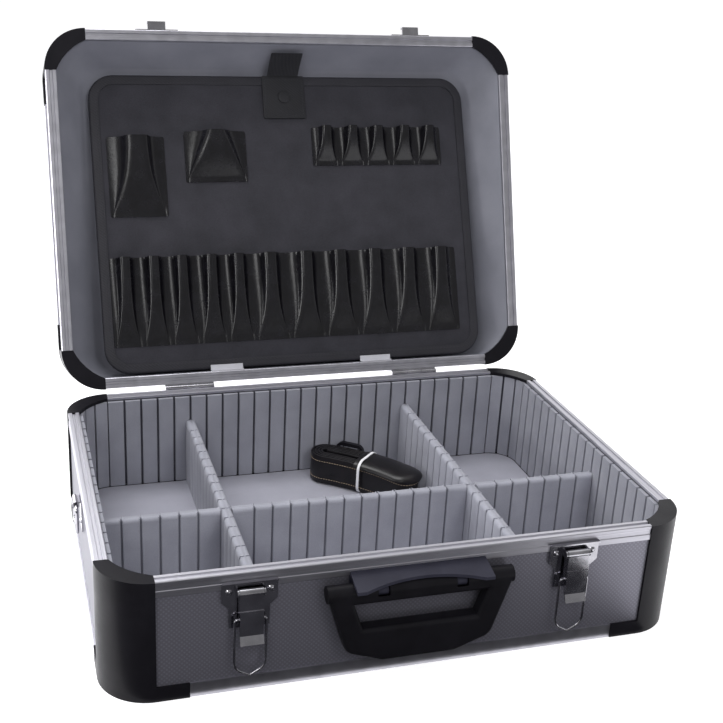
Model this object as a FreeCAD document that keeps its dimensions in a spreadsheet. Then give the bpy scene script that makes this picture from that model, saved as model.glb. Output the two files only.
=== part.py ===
import FreeCAD, Part
import math
import os
import re
import Sketcher

# A hard tool case with its lid open: a boarded base and lid edged with metal extrusions and black
# corner posts, a grooved foam lining with loose dividers, a tool board in the lid, two draw
# latches, a drop handle, two side rings and the folded shoulder strap.
# X runs to the right, Y to the back and Z up. The origin is the middle of the base's underside.

# Every length is in millimetres and every angle in degrees.
SIZES = [
    # the whole case
    ("case_width", 455), ("case_depth", 330), ("base_height", 97), ("lid_height", 55),
    ("corner_radius", 38), ("lid_open_angle", 109), ("rim_gap", 0.4), ("fit_gap", 0.3),
    ("overrun", 2),
    # boards and extrusions
    ("corner_proud", 0.8), ("metal_thick", 1.2), ("wall_board_thick", 3.8), ("floor_board", 5),
    ("rim_width", 10.5), ("rim_drop", 12), ("rim_web", 2.4), ("flange_lip", 4.4), ("flange_bead", 2.5),
    ("flange_step", 0.5), ("seal_width", 3.2), ("seal_depth", 1.2),
    ("edge_height", 11.5), ("edge_reach", 16), ("foot_run", 23.5), ("cap_drop", 8.5), ("cap_web", 3),
    ("lid_cap_web", 3), ("cap_bow", 2.6),
    # foam lining and dividers
    ("foam_inset", 13.7), ("floor_foam_thick", 3), ("slot_pitch", 15.2), ("slot_width", 2),
    ("slot_depth", 3),
    ("divider_drop", 27), ("divider_thick", 9), ("divider_slot_depth", 2.6),
    ("tongue_thick", 1.4), ("wall_tongue", 2.9), ("cross_tongue", 2.3),
    # lid lining and tool board
    ("cavity_back", 9.5), ("cavity_side_margin", 37.5), ("cavity_front_margin", 30.5),
    ("cavity_rim_radius", 12), ("cavity_floor_radius", 25),
    ("board_side_gap", 39.5), ("board_end_gap", 47), ("board_thick", 4), ("board_radius", 24),
    ("board_foot", 12.5), ("board_inset", 9), ("board_back_gap", 8.33),
    ("binding_width", 9), ("binding_proud", 1), ("clip_width", 31), ("clip_from_end", 113.5),
    ("clip_height", 6), ("clip_thick", 1), ("clip_clear", 0.6),
    # pockets on the tool board, and their distances from its edges and from each other
    ("pocket_skin", 1.2), ("pocket_depth", 12), ("pocket_hem", 4), ("narrow_pitch", 27),
    ("wide_pitch", 35.2), ("narrow_ridge", 9), ("wide_ridge", 11), ("long_strip_bottom", 25),
    ("long_strip_gap", 38.5), ("long_strip_margin", 9.4), ("loop_strip_drop", 51),
    ("loop_strip_height", 38), ("loop_strip_left", 25.5), ("large_width", 54),
    ("large_height", 76), ("large_ridge", 19.5), ("large_margin", 14), ("large_drop", 59.5),
    ("medium_width", 60), ("medium_height", 49), ("medium_ridge", 20), ("medium_gap", 19),
    ("medium_drop", 54.5), ("tab_width", 31), ("patch_width", 42), ("patch_height", 42),
    ("tab_thick", 1.6), ("snap_radius", 6), ("snap_rise", 1.6), ("tab_margin", 1.6),
    ("tab_end_depth", 6.5),
    # latches
    ("latch_nearer", 5.75), ("plate_width", 40), ("plate_foot_width", 29), ("plate_drop", 6),
    ("plate_side_height", 16), ("plate_slant_height", 5), ("plate_tail_height", 16),
    ("sheet_thick", 1.2), ("lip_reach", 3.6), ("lever_pivot_drop", 6.5), ("lever_pivot_out", 6.3),
    ("lever_width", 17), ("lever_length", 32.5), ("lever_break_drop", 13), ("lever_roll", 3.2),
    ("lever_front", 9.4), ("lever_step", 0.8), ("lever_lip_drop", 6), ("lever_lip_out", 3),
    ("ear_gap", 0.4), ("ear_thick", 1), ("ear_radius", 2.8), ("pin_radius", 1.25),
    ("pin_clear", 0.05), ("bail_pivot_drop", 21.5), ("bail_out", 5.6), ("bail_half_width", 11.3),
    ("bail_length", 47), ("bail_wire", 1), ("bail_point", 6.5), ("bail_bend", 2.2),
    ("bail_shoulder_radius", 9), ("bail_tip_radius", 1.6),
    ("bail_hole_clear", 0.08), ("catch_width", 39), ("catch_rise", 1.6), ("catch_height", 20),
    ("finger_width", 16.4), ("finger_rise", 2.2), ("finger_lip", 3.6), ("lip_clear", 0.7),
    # handle
    ("handle_pivot_drop", 21), ("handle_out", 8), ("handle_half_thick", 6.5),
    ("handle_half_width", 71), ("handle_taper", 15), ("handle_drop", 58),
    ("handle_side_drop", 48), ("handle_gap_top", 8.5), ("handle_gap_bottom", 29),
    ("handle_arm", 20), ("handle_gap_taper", 7), ("handle_round", 3.5),
    ("handle_corner_radius", 12), ("hood_end_gap", 19), ("hood_drop", 9), ("hood_reach", 20.8),
    ("hood_fall", 5), ("hood_thick", 2.5), ("hood_arch", 9), ("hood_arch_end", 7),
    ("mount_reach", 9), ("mount_thick", 1.6), ("knuckle_width", 8), ("knuckle_place", 30),
    ("knuckle_radius", 4.5), ("knuckle_clear", 0.4), ("handle_pin_radius", 2),
    # hinges
    ("hinge_from_end", 115.5), ("hinge_width", 46), ("hinge_out", 2.5), ("hinge_knuckle", 2.2),
    ("hinge_pin_radius", 1), ("hinge_leaf", 20), ("knuckle_share", 0.335), ("knuckle_gap", 0.3),
    # side rings
    ("ring_pivot_drop", 21), ("ring_plate_width", 16), ("ring_plate_height", 26), ("ring_out", 5),
    ("ring_wire", 1.5), ("ring_half_width", 13), ("ring_drop", 22), ("ring_bend", 5),
    ("ring_barrel", 3), ("ring_barrel_half", 6),
    # rivets
    ("rivet_radius", 2.6), ("rivet_rise", 1.3),
    # shoulder strap
    ("strap_width", 28), ("strap_thick", 2.4), ("strap_pitch", 3), ("strap_turns", 4),
    ("strap_core", 2.6), ("strap_bow_radius", 190), ("strap_half_angle", 13), ("strap_x", 46.5),
    ("strap_back", 49.8), ("strap_turn", -46), ("tie_width", 4), ("tie_thick", 0.8),
    ("hook_length", 33), ("hook_width", 28), ("hook_thick", 4), ("hook_wall", 3.5),
    ("hook_slot", 5), ("hook_angle", -7.8),
]

# Sizes and places that follow from the ones above, each written with sizes that stand before it.
DERIVED = [
    # The latches, the handle and the rings hang from the rim, and the dividers end below it.
    ("latch_space", "handle_half_width + case_width / 2 - corner_radius - 2 * latch_nearer"),
    ("plate_top", "base_height - plate_drop"),
    ("plate_shoulder", "plate_top - plate_side_height"),
    ("plate_waist", "plate_shoulder - plate_slant_height"),
    ("plate_bottom", "plate_waist - plate_tail_height"),
    ("lever_pivot_height", "plate_top - lever_pivot_drop"),
    ("lever_bottom", "lever_pivot_height - lever_length"),
    ("lever_break", "lever_pivot_height - lever_break_drop"),
    ("bail_pivot_height", "lever_pivot_height - bail_pivot_drop"),
    ("handle_pivot_height", "base_height - handle_pivot_drop"),
    ("handle_foot_half", "handle_half_width - handle_taper"),
    ("handle_gap_half_top", "handle_half_width - handle_arm"),
    ("handle_gap_half_bottom", "handle_gap_half_top - handle_gap_taper"),
    ("hood_half_width", "handle_half_width - hood_end_gap"),
    ("hood_arch_half", "hood_half_width - hood_arch_end"),
    ("hood_top", "base_height - hood_drop"),
    ("mount_foot", "handle_pivot_height - mount_reach"),
    ("hinge_space", "case_width - 2 * hinge_from_end"),
    ("ring_height", "base_height - ring_pivot_drop"),
    ("divider_height", "base_height - divider_drop - floor_board - floor_foam_thick - fit_gap"),
    # The tool board and its pockets fit the lid.
    ("cavity_depth", "lid_height - cavity_back"),
    ("cavity_half_width", "case_width / 2 - cavity_side_margin"),
    ("board_width", "case_width - 2 * board_side_gap"),
    ("board_height", "case_depth - board_end_gap"),
    ("clip_space", "board_width - 2 * clip_from_end"),
    ("long_strip_left", "board_width / 2 - long_strip_margin"),
    ("loop_strip_bottom", "board_height - loop_strip_drop - loop_strip_height"),
    ("large_left", "board_width / 2 - large_margin"),
    ("large_bottom", "board_height - large_drop - large_height"),
    ("medium_left", "large_left - large_width - medium_gap"),
    ("medium_bottom", "board_height - medium_drop - medium_height"),
    ("long_strip_height", "large_bottom - long_strip_gap - long_strip_bottom"),
    # The wound strap lies near the rear wall.
    ("strap_y", "case_depth / 2 - foam_inset - strap_back"),
]

FOUR = (0, 90, 180, 270)
SIDES = ((-1, "left"), (1, "right"))
X_AXIS, Y_AXIS, Z_AXIS = FreeCAD.Vector(1, 0, 0), FreeCAD.Vector(0, 1, 0), FreeCAD.Vector(0, 0, 1)
ORIGIN = FreeCAD.Vector(0, 0, 0)

doc = FreeCAD.newDocument("tool_case")
sheet = doc.addObject("Spreadsheet::Sheet", "Sizes")
rows = [(alias, str(value)) for alias, value in SIZES] + [(alias, "=" + text) for alias, text in DERIVED]
for row, (alias, text) in enumerate(rows, start=1):
    sheet.set(f"A{row}", text)
    sheet.setAlias(f"A{row}", alias)
    doc.recompute()

ALIASES = {alias for alias, text in rows}
s = type("Values", (), {alias: float(sheet.get(alias)) for alias in ALIASES})
sub_parts = []


# Helpers

def expression(text):
    """The text with each size's name written as the sheet's cell."""
    return re.sub(r"[a-z][a-z_]*", lambda m: "Sizes." + m[0] if m[0] in ALIASES else m[0], text)


def bind(thing, prop, text):
    thing.setExpression(prop, expression(text))


def vector(x, y, z=0.0):
    return FreeCAD.Vector(x, y, z)


def turned(axis, angle, base=ORIGIN):
    return FreeCAD.Placement(base, FreeCAD.Rotation(axis, angle))


def keep(thing, name, placement=None):
    """Names a finished sub-part and puts it in its place."""
    thing.Label = name
    if placement is not None:
        thing.Placement = placement
    sub_parts.append(thing)
    return thing


def feature(name, shape, placement=None, kept=True):
    thing = doc.addObject("Part::Feature", name)
    thing.Shape = shape
    if kept:
        return keep(thing, name, placement)
    if placement is not None:
        thing.Placement = placement
    return thing


def box(name, x, y, z, kept=True, placement=None):
    """A box between three pairs of (low, high) expressions, in a frame that the placement moves."""
    thing = doc.addObject("Part::Box", name)
    for prop, (low, high) in zip(("Length", "Width", "Height"), (x, y, z)):
        bind(thing, prop, f"({high}) - ({low})")
    for prop, (low, high) in zip("xyz", (x, y, z)):
        bind(thing, f"Placement.Base.{prop}", low)
    doc.recompute()
    if placement is not None:
        for prop in "xyz":
            thing.setExpression(f"Placement.Base.{prop}", None)
        thing.Placement = placement.multiply(thing.Placement)
    return keep(thing, name) if kept else thing


def new_body(name):
    return doc.addObject("PartDesign::Body", name)


def origin_part(body, role):
    return next(o for o in body.Origin.OriginFeatures if o.Role == role)


def sketch(body, plane, loops, offset=None):
    """A sketch of closed polygons whose corners are pairs of expressions."""
    drawn = body.newObject("Sketcher::SketchObject", body.Name + "_sketch")
    drawn.AttachmentSupport = [(origin_part(body, plane), "")]
    drawn.MapMode = "FlatFace"
    if offset is not None:
        bind(drawn, "AttachmentOffset.Base.z", offset)
    for loop in loops:
        first, count = drawn.GeometryCount, len(loop)
        for i in range(count):
            angle = math.tau * i / count
            after = math.tau * (i + 1) / count
            drawn.addGeometry(Part.LineSegment(vector(math.cos(angle), math.sin(angle)),
                                               vector(math.cos(after), math.sin(after))), False)
        for i in range(count):
            following = first + (i + 1) % count
            drawn.addConstraint(Sketcher.Constraint("Coincident", first + i, 2, following, 1))
        for i, corner in enumerate(loop):
            for kind, text in zip(("DistanceX", "DistanceY"), corner):
                held = drawn.addConstraint(Sketcher.Constraint(kind, -1, 1, first + i, 1, 1.0))
                bind(drawn, f"Constraints[{held}]", text)
    return drawn


def rectangle(x, y):
    return [(x[0], y[0]), (x[1], y[0]), (x[1], y[1]), (x[0], y[1])]


def pad(body, drawn, length, midplane=False, backwards=False):
    raised = body.newObject("PartDesign::Pad", body.Name + "_pad")
    raised.Profile = drawn
    raised.Midplane = midplane
    raised.Reversed = backwards
    bind(raised, "Length", length)
    return raised


def pocket(body, drawn):
    """A cut right through the body, both ways from the sketch."""
    cut = body.newObject("PartDesign::Pocket", body.Name + "_pocket")
    cut.Profile = drawn
    cut.Type = "ThroughAll"
    cut.Midplane = True
    return cut


def revolve(body, drawn, angle, axis="Z_Axis"):
    turned_solid = body.newObject("PartDesign::Revolution", body.Name + "_revolve")
    turned_solid.Profile = drawn
    turned_solid.ReferenceAxis = (origin_part(body, axis), [""])
    turned_solid.Angle = angle
    return turned_solid


def soften(body, base, radius, chosen):
    """Rounds the edges of a feature that the test picks."""
    doc.recompute()
    names = [f"Edge{i}" for i, edge in enumerate(base.Shape.Edges, start=1) if chosen(edge)]
    rounded = body.newObject("PartDesign::Fillet", body.Name + "_fillet")
    rounded.Base = (base, names)
    bind(rounded, "Radius", radius)
    return rounded


def runs_along(edge, axis):
    if edge.Curve.TypeId != "Part::GeomLine":
        return False
    return abs(abs(edge.tangentAt(edge.FirstParameter).dot(axis)) - 1) < 1e-6


def joined(name, operation, base, tool, placement=None):
    """A boolean of two objects as one finished sub-part."""
    thing = doc.addObject(operation, name)
    thing.Base = base
    thing.Tool = tool
    doc.recompute()
    return keep(thing, name, placement)


def group(name, things):
    """Several separate solids that share one node."""
    compound = doc.addObject("Part::Compound", name)
    compound.Links = things
    return keep(compound, name)


def rounded_path(points, radii):
    """A wire through the points, with an arc of the given radius at each inner one."""
    edges, start = [], points[0]
    for before, corner, after, radius in zip(points, points[1:], points[2:], radii):
        inward, outward = (corner - before).normalize(), (after - corner).normalize()
        turn = inward.getAngle(outward)
        trim = radius * math.tan(turn / 2)
        entry, leave = corner - inward * trim, corner + outward * trim
        centre_way = (outward - inward).normalize()
        middle = corner + centre_way * (radius / math.cos(turn / 2) - radius)
        if (entry - start).Length > 1e-6:
            edges.append(Part.LineSegment(start, entry).toShape())
        edges.append(Part.Arc(entry, middle, leave).toShape())
        start = leave
    if (points[-1] - start).Length > 1e-6:
        edges.append(Part.LineSegment(start, points[-1]).toShape())
    return Part.Wire(edges)


def wire_solid(path, radius):
    """A round wire that follows a path."""
    first = path.Edges[0]
    start = first.valueAt(first.FirstParameter)
    way = first.tangentAt(first.FirstParameter)
    section = Part.Wire([Part.Circle(start, way, radius).toShape()])
    return path.makePipeShell([section], True, False)


def rounded_rectangle(x_low, x_high, y_low, y_high, radius, z):
    corners = [(x_high - radius, y_high - radius, 0), (x_low + radius, y_high - radius, 90),
               (x_low + radius, y_low + radius, 180), (x_high - radius, y_low + radius, 270)]
    arcs = [Part.Arc(Part.Circle(vector(x, y, z), Z_AXIS, radius),
                     math.radians(angle), math.radians(angle + 90)).toShape()
            for x, y, angle in corners]
    edges = []
    for i, arc in enumerate(arcs):
        following = arcs[(i + 1) % len(arcs)]
        edges += [arc, Part.LineSegment(arc.Vertexes[-1].Point, following.Vertexes[0].Point).toShape()]
    return Part.Wire(edges)


# Places that several pieces share

HALF_WIDTH, HALF_DEPTH = "case_width / 2", "case_depth / 2"
SKIN_OUT = "corner_proud + metal_thick"
SKIN_IN = "corner_proud + metal_thick + wall_board_thick"
LID_FLOOR, LID_TOP = "base_height + rim_gap", "base_height + rim_gap + lid_height"
FLANGE = "case_depth / 2 - corner_proud"
half_width, half_depth = s.case_width / 2, s.case_depth / 2
skin_in = s.corner_proud + s.metal_thick + s.wall_board_thick
flange = half_depth - s.corner_proud
lid_floor = s.base_height + s.rim_gap
lid_top = lid_floor + s.lid_height
hinge_y, hinge_z = half_depth + s.hinge_out, s.base_height + s.rim_gap / 2
foam_floor = s.floor_board + s.floor_foam_thick
rim_x, rim_y = half_width - s.rim_width, half_depth - s.rim_width
# The foam stands further in than the rim, so a divider's tongues lift clear of it.
foam_x, foam_y = half_width - s.foam_inset, half_depth - s.foam_inset

# The lid's pieces are drawn in their closed place, and lid_open turns them about the hinge pins.
lid_open = turned(X_AXIS, -s.lid_open_angle, vector(0, hinge_y, hinge_z)).multiply(
    FreeCAD.Placement(vector(0, -hinge_y, -hinge_z), FreeCAD.Rotation()))
# The tool board leans back until its head is as near the lining as the named gap says. Its pieces
# are drawn upright, with the board's front face at y = 0.
board_lean = math.degrees(math.asin((s.cavity_depth - s.board_inset - s.board_back_gap) / s.board_height))
board_place = lid_open.multiply(turned(X_AXIS, 90 - board_lean, vector(
    0, half_depth - s.board_foot, lid_floor + s.board_inset)))
# The lid's shell is the base's shell turned over.
lid_flip = lid_open.multiply(turned(Y_AXIS, 180, vector(0, 0, lid_floor)))


# Extrusions and corners

def rim_rail(name, length):
    """A rim extrusion along X: the rim's top at z = 0, the case's outer face at y = 0."""
    body = new_body(name)
    left_groove = "(corner_proud + rim_width - seal_width) / 2"
    right_groove = "(corner_proud + rim_width + seal_width) / 2"
    section = [
        ("corner_proud", "-rim_drop"), ("corner_proud", "flange_lip - rim_drop"),
        ("corner_proud + flange_step", "flange_lip + flange_step - rim_drop"),
        ("corner_proud + flange_step", "-flange_bead - flange_step"),
        ("corner_proud", "-flange_bead"), ("corner_proud", "-flange_step"),
        ("corner_proud + flange_step", "0"), (left_groove, "0"),
        (left_groove + " + flange_step", "-seal_depth"),
        (right_groove + " - flange_step", "-seal_depth"), (right_groove, "0"),
        ("rim_width - flange_step", "0"), ("rim_width", "-flange_step"), ("rim_width", "-rim_web"),
        (SKIN_OUT, "-rim_web"), (SKIN_OUT, "-rim_drop"),
    ]
    pad(body, sketch(body, "YZ_Plane", [section]), length, midplane=True)
    return body


def edge_rail(name, length):
    """An angle extrusion along X, wrapped round an outer edge that lies at y = 0 and z = 0."""
    body = new_body(name)
    section = [("corner_proud", "0"), ("corner_proud", "edge_height"), (SKIN_OUT, "edge_height"),
               (SKIN_OUT, "metal_thick"), ("edge_reach", "metal_thick"), ("edge_reach", "0")]
    pad(body, sketch(body, "YZ_Plane", [section]), length, midplane=True)
    return body


def corner_post(name, height, cap_drop):
    """A corner post with its feet: the arc's centre at the origin, the case's corner towards +X+Y."""
    body = new_body(name)
    wall_in = "corner_radius - (" + SKIN_IN + ")"
    section = [("corner_radius", "0"), ("corner_radius", f"{height} - {cap_drop}"),
               (wall_in, f"{height} - {cap_drop}"), (wall_in, "metal_thick"),
               ("corner_radius - edge_reach", "metal_thick"), ("corner_radius - edge_reach", "0")]
    revolve(body, sketch(body, "XZ_Plane", [section]), 90)
    foot = [("corner_radius", "0"), ("corner_radius", "edge_height"),
            ("corner_radius - (" + SKIN_OUT + ")", "edge_height"),
            ("corner_radius - (" + SKIN_OUT + ")", "metal_thick"),
            ("corner_radius - edge_reach", "metal_thick"), ("corner_radius - edge_reach", "0")]
    pad(body, sketch(body, "XZ_Plane", [foot]), "foot_run")
    pad(body, sketch(body, "YZ_Plane", [foot]), "foot_run", backwards=True)
    return body


BOW_SHARES = (0.15, 0.3, 0.5, 0.7, 0.85)


def rim_cap(name, height, web, skirt=None):
    """A rim corner whose inner edge bows out towards the corner, in the same place as its post.

    A skirt hangs down over the post's wall.
    """
    body = new_body(name)
    section = [("0", height), ("corner_radius", height)]
    if skirt:
        wall_in = "corner_radius - (" + SKIN_IN + ")"
        section += [("corner_radius", f"{height} - {skirt}"), (wall_in, f"{height} - {skirt}"),
                    (wall_in, f"{height} - {web}")]
    else:
        section += [("corner_radius", f"{height} - {web}")]
    section += [("0", f"{height} - {web}")]
    revolve(body, sketch(body, "XZ_Plane", [section]), 90)
    reach = "(corner_radius - rim_width)"
    edge = [("corner_radius - rim_width", "0")]
    for share in BOW_SHARES:
        bow = f"4 * {share} * (1 - {share}) * cap_bow"
        edge.append((f"{reach} * (1 - {share}) + {bow}", f"{reach} * {share} + {bow}"))
    edge += [("0", "corner_radius - rim_width"), ("-overrun", "corner_radius - rim_width + overrun"),
             ("-overrun", "-overrun"), ("corner_radius - rim_width + overrun", "-overrun")]
    pocket(body, sketch(body, "XY_Plane", [edge]))
    return body


def corner_place(turn):
    """The place of the corner whose quadrant the turn in degrees leads to."""
    x_side = 1 if turn in (0, 270) else -1
    y_side = 1 if turn in (0, 90) else -1
    return turned(Z_AXIS, turn, vector(x_side * (half_width - s.corner_radius),
                                       y_side * (half_depth - s.corner_radius), 0))


def rail_places(height):
    """The places of the front, rear, left and right rails on a rim at that height."""
    return {"front": turned(Z_AXIS, 0, vector(0, -half_depth, height)),
            "rear": turned(Z_AXIS, 180, vector(0, half_depth, height)),
            "left": turned(Z_AXIS, -90, vector(-half_width, 0, height)),
            "right": turned(Z_AXIS, 90, vector(half_width, 0, height))}


RIM_LENGTH = {"front": "case_width - 2 * corner_radius", "rear": "case_width - 2 * corner_radius",
              "left": "case_depth - 2 * corner_radius", "right": "case_depth - 2 * corner_radius"}
EDGE_LENGTH = {side: f"{text} - 2 * foot_run" for side, text in RIM_LENGTH.items()}

for side, place in rail_places(s.base_height).items():
    keep(rim_rail(f"base_rim_{side}", RIM_LENGTH[side]), f"base_rim_{side}", place)

edges = []
for side, place in rail_places(0).items():
    rail = edge_rail(f"bottom_edge_{side}", EDGE_LENGTH[side])
    rail.Placement = place
    edges.append(rail)
group("base_bottom_edges", edges)

CORNER_NAMES = {180: "front_left", 270: "front_right", 90: "rear_left", 0: "rear_right"}
for turn, corner in CORNER_NAMES.items():
    keep(corner_post(f"base_corner_{corner}", "base_height", "cap_drop"),
         f"base_corner_{corner}", corner_place(turn))

caps = []
for turn in FOUR:
    cap = rim_cap(f"rim_cap_{turn}", "base_height", "cap_web", "cap_drop")
    cap.Placement = corner_place(turn)
    caps.append(cap)
group("base_rim_corners", caps)

# The lid's shell hangs from lid_flip, where its rim is at z = 0 and its top at z = -lid_height.
lid_shell = lid_flip.multiply(FreeCAD.Placement(vector(0, 0, -s.lid_height), FreeCAD.Rotation()))

rails = []
for side, place in rail_places(s.lid_height).items():
    rail = rim_rail(f"lid_rim_{side}", RIM_LENGTH[side])
    rail.Placement = lid_shell.multiply(place)
    rails.append(rail)
group("lid_rim_rails", rails)

edges = []
for side, place in rail_places(0).items():
    rail = edge_rail(f"lid_edge_{side}", EDGE_LENGTH[side])
    rail.Placement = lid_shell.multiply(place)
    edges.append(rail)
group("lid_top_edges", edges)

corners = []
for turn in FOUR:
    post = corner_post(f"lid_post_{turn}", "lid_height", "lid_cap_web")
    cap = rim_cap(f"lid_cap_{turn}", "lid_height", "lid_cap_web")
    whole = doc.addObject("Part::Fuse", f"lid_corner_{turn}")
    whole.Base, whole.Tool = post, cap
    whole.Placement = lid_shell.multiply(corner_place(turn))
    corners.append(whole)
group("lid_corners", corners)


# Boards

def floor_body(name):
    """A board whose edges are stepped to lie flush in the angle extrusions, outer face at z = 0."""
    body = new_body(name)

    def inset(text):
        return rectangle((f"{text} - case_width / 2", f"case_width / 2 - ({text})"),
                         (f"{text} - case_depth / 2", f"case_depth / 2 - ({text})"))

    lower = pad(body, sketch(body, "XY_Plane", [inset("edge_reach")]), "metal_thick")
    rounded = soften(body, lower, "corner_radius - edge_reach", lambda e: runs_along(e, Z_AXIS))
    upper = pad(body, sketch(body, "XY_Plane", [inset("(" + SKIN_IN + ")")], "metal_thick"),
                "floor_board - metal_thick")
    reach = half_width - skin_in
    soften(body, upper, "corner_radius - (" + SKIN_IN + ")",
           lambda e: runs_along(e, Z_AXIS) and abs(abs(e.CenterOfMass.x) - reach) < s.metal_thick)
    return body


def wall_boards(prefix, low, high, placement=None):
    """The four wall boards between the corner posts, between two heights."""
    across = (f"corner_radius - {HALF_WIDTH}", f"{HALF_WIDTH} - corner_radius")
    along = (f"corner_radius - {HALF_DEPTH}", f"{HALF_DEPTH} - corner_radius")
    spans = {
        "front": (across, (f"{SKIN_OUT} - {HALF_DEPTH}", f"{SKIN_IN} - {HALF_DEPTH}")),
        "rear": (across, (f"{HALF_DEPTH} - ({SKIN_IN})", f"{HALF_DEPTH} - ({SKIN_OUT})")),
        "left": ((f"{SKIN_OUT} - {HALF_WIDTH}", f"{SKIN_IN} - {HALF_WIDTH}"), along),
        "right": ((f"{HALF_WIDTH} - ({SKIN_IN})", f"{HALF_WIDTH} - ({SKIN_OUT})"), along),
    }
    return {side: box(f"{prefix}_{side}_wall", x, y, (low, high), False, placement)
            for side, (x, y) in spans.items()}


keep(floor_body("base_floor_panel"), "base_floor_panel")
for side, board in wall_boards("base", "metal_thick", "base_height - rim_web").items():
    keep(board, f"base_{side}_wall")
keep(floor_body("lid_top_panel"), "lid_top_panel", lid_shell)
boards = wall_boards("lid", "metal_thick", "lid_height - rim_web", lid_shell)
keep(boards["front"], "lid_front_wall")
keep(boards["rear"], "lid_rear_wall")
group("lid_side_walls", [boards["left"], boards["right"]])


# Foam lining of the base

def slot_places(half_length, offset_share=0.5):
    """Slot places at the shared pitch, as far as the half length allows."""
    places, step = [], 0
    while (step + offset_share) * s.slot_pitch <= half_length:
        at = (step + offset_share) * s.slot_pitch
        places += [at] if at == 0 else [at, -at]
        step += 1
    return sorted(places)


def wall_foam():
    """One grooved strip that runs round the inside of the base."""
    outer_radius = s.corner_radius - skin_in - s.fit_gap
    outer_x, outer_y = half_width - skin_in - s.fit_gap, half_depth - skin_in - s.fit_gap
    inner_radius = s.corner_radius - s.foam_inset
    low, high = s.floor_board + s.fit_gap, s.base_height - s.cap_web - s.fit_gap
    outer = Part.Face(rounded_rectangle(-outer_x, outer_x, -outer_y, outer_y, outer_radius, low))
    inner = Part.Face(rounded_rectangle(-foam_x, foam_x, -foam_y, foam_y, inner_radius, low))
    ring = outer.cut(inner).extrude(vector(0, 0, high - low))

    def slot(x, y, angle):
        cutter = Part.makeBox(s.slot_depth + s.overrun, s.slot_width, high - low + 2 * s.overrun,
                              vector(-s.overrun, -s.slot_width / 2, low - s.overrun))
        cutter.Placement = turned(Z_AXIS, angle, vector(x, y, 0)).multiply(cutter.Placement)
        return cutter

    slots = []
    for x in slot_places(foam_x - inner_radius - s.slot_width):
        slots += [slot(x, foam_y, 90), slot(x, -foam_y, -90)]
    for y in slot_places(foam_y - inner_radius - s.slot_width):
        slots += [slot(foam_x, y, 0), slot(-foam_x, y, 180)]
    for turn in FOUR:
        place = corner_place(turn)
        for share in (1 / 3, 2 / 3):
            way = math.radians(turn + 90 * share)
            slots.append(slot(place.Base.x + inner_radius * math.cos(way),
                              place.Base.y + inner_radius * math.sin(way), turn + 90 * share))
    return ring.cut(slots)


feature("wall_foam", wall_foam())

body = new_body("floor_foam")
FOAM_END_X = "(case_width / 2 - foam_inset - fit_gap)"
FOAM_END_Y = "(case_depth / 2 - foam_inset - fit_gap)"
flat = pad(body, sketch(body, "XY_Plane", [rectangle((f"-{FOAM_END_X}", FOAM_END_X),
                                                     (f"-{FOAM_END_Y}", FOAM_END_Y))],
                        "floor_board"), "floor_foam_thick")
soften(body, flat, "corner_radius - foam_inset - fit_gap", lambda e: runs_along(e, Z_AXIS))
keep(body, "floor_foam")


# Dividers

def divider(name, start, end, first_slot, slot_count, tongue_start, tongue_end):
    """A grooved foam divider along X, with a thin tongue past each end for the slot that holds it.

    It stands on the floor foam, and its slots start at first_slot, one pitch apart.
    """
    body = new_body(name)
    face = "divider_thick / 2"
    outline = [(start, f"-{face}"), (end, f"-{face}"), (end, "-tongue_thick / 2"),
               (f"{end} + {tongue_end}", "-tongue_thick / 2"), (f"{end} + {tongue_end}", "tongue_thick / 2"),
               (end, "tongue_thick / 2"), (end, face), (start, face), (start, "tongue_thick / 2"),
               (f"{start} - {tongue_start}", "tongue_thick / 2"),
               (f"{start} - {tongue_start}", "-tongue_thick / 2"), (start, "-tongue_thick / 2")]
    base = "floor_board + floor_foam_thick + fit_gap"
    pad(body, sketch(body, "XY_Plane", [outline], base), "divider_height")
    sides = (f"{first_slot} - slot_width / 2", f"{first_slot} + slot_width / 2")
    cut = pocket(body, sketch(body, "XY_Plane", [
        rectangle(sides, (f"{face} - divider_slot_depth", f"{face} + overrun")),
        rectangle(sides, (f"-{face} - overrun", f"divider_slot_depth - {face}"))], base))
    repeat = body.newObject("PartDesign::LinearPattern", name + "_slots")
    repeat.Originals = [cut]
    repeat.Direction = (origin_part(body, "X_Axis"), [""])
    repeat.Occurrences = slot_count
    bind(repeat, "Length", f"{slot_count - 1} * slot_pitch")
    body.Tip = repeat
    return body


# The lengthwise dividers stand in the eighth and the seventh slot from the middle, and the cross
# divider stands in the second slots in front of the middle.
LEFT_STEPS, RIGHT_STEPS, CROSS_STEPS = 7.5, 6.5, 1.5
left_x, right_x = -LEFT_STEPS * s.slot_pitch, RIGHT_STEPS * s.slot_pitch
cross_y = -CROSS_STEPS * s.slot_pitch
along_slots = slot_places(foam_y - s.divider_thick)
for name, x in (("divider_left", left_x), ("divider_right", right_x)):
    keep(divider(name, f"-{FOAM_END_Y}", FOAM_END_Y, f"-{len(along_slots) - 1} / 2 * slot_pitch",
                 len(along_slots), "wall_tongue", "wall_tongue"), name,
         turned(Z_AXIS, 90, vector(x, 0, 0)))

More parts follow.
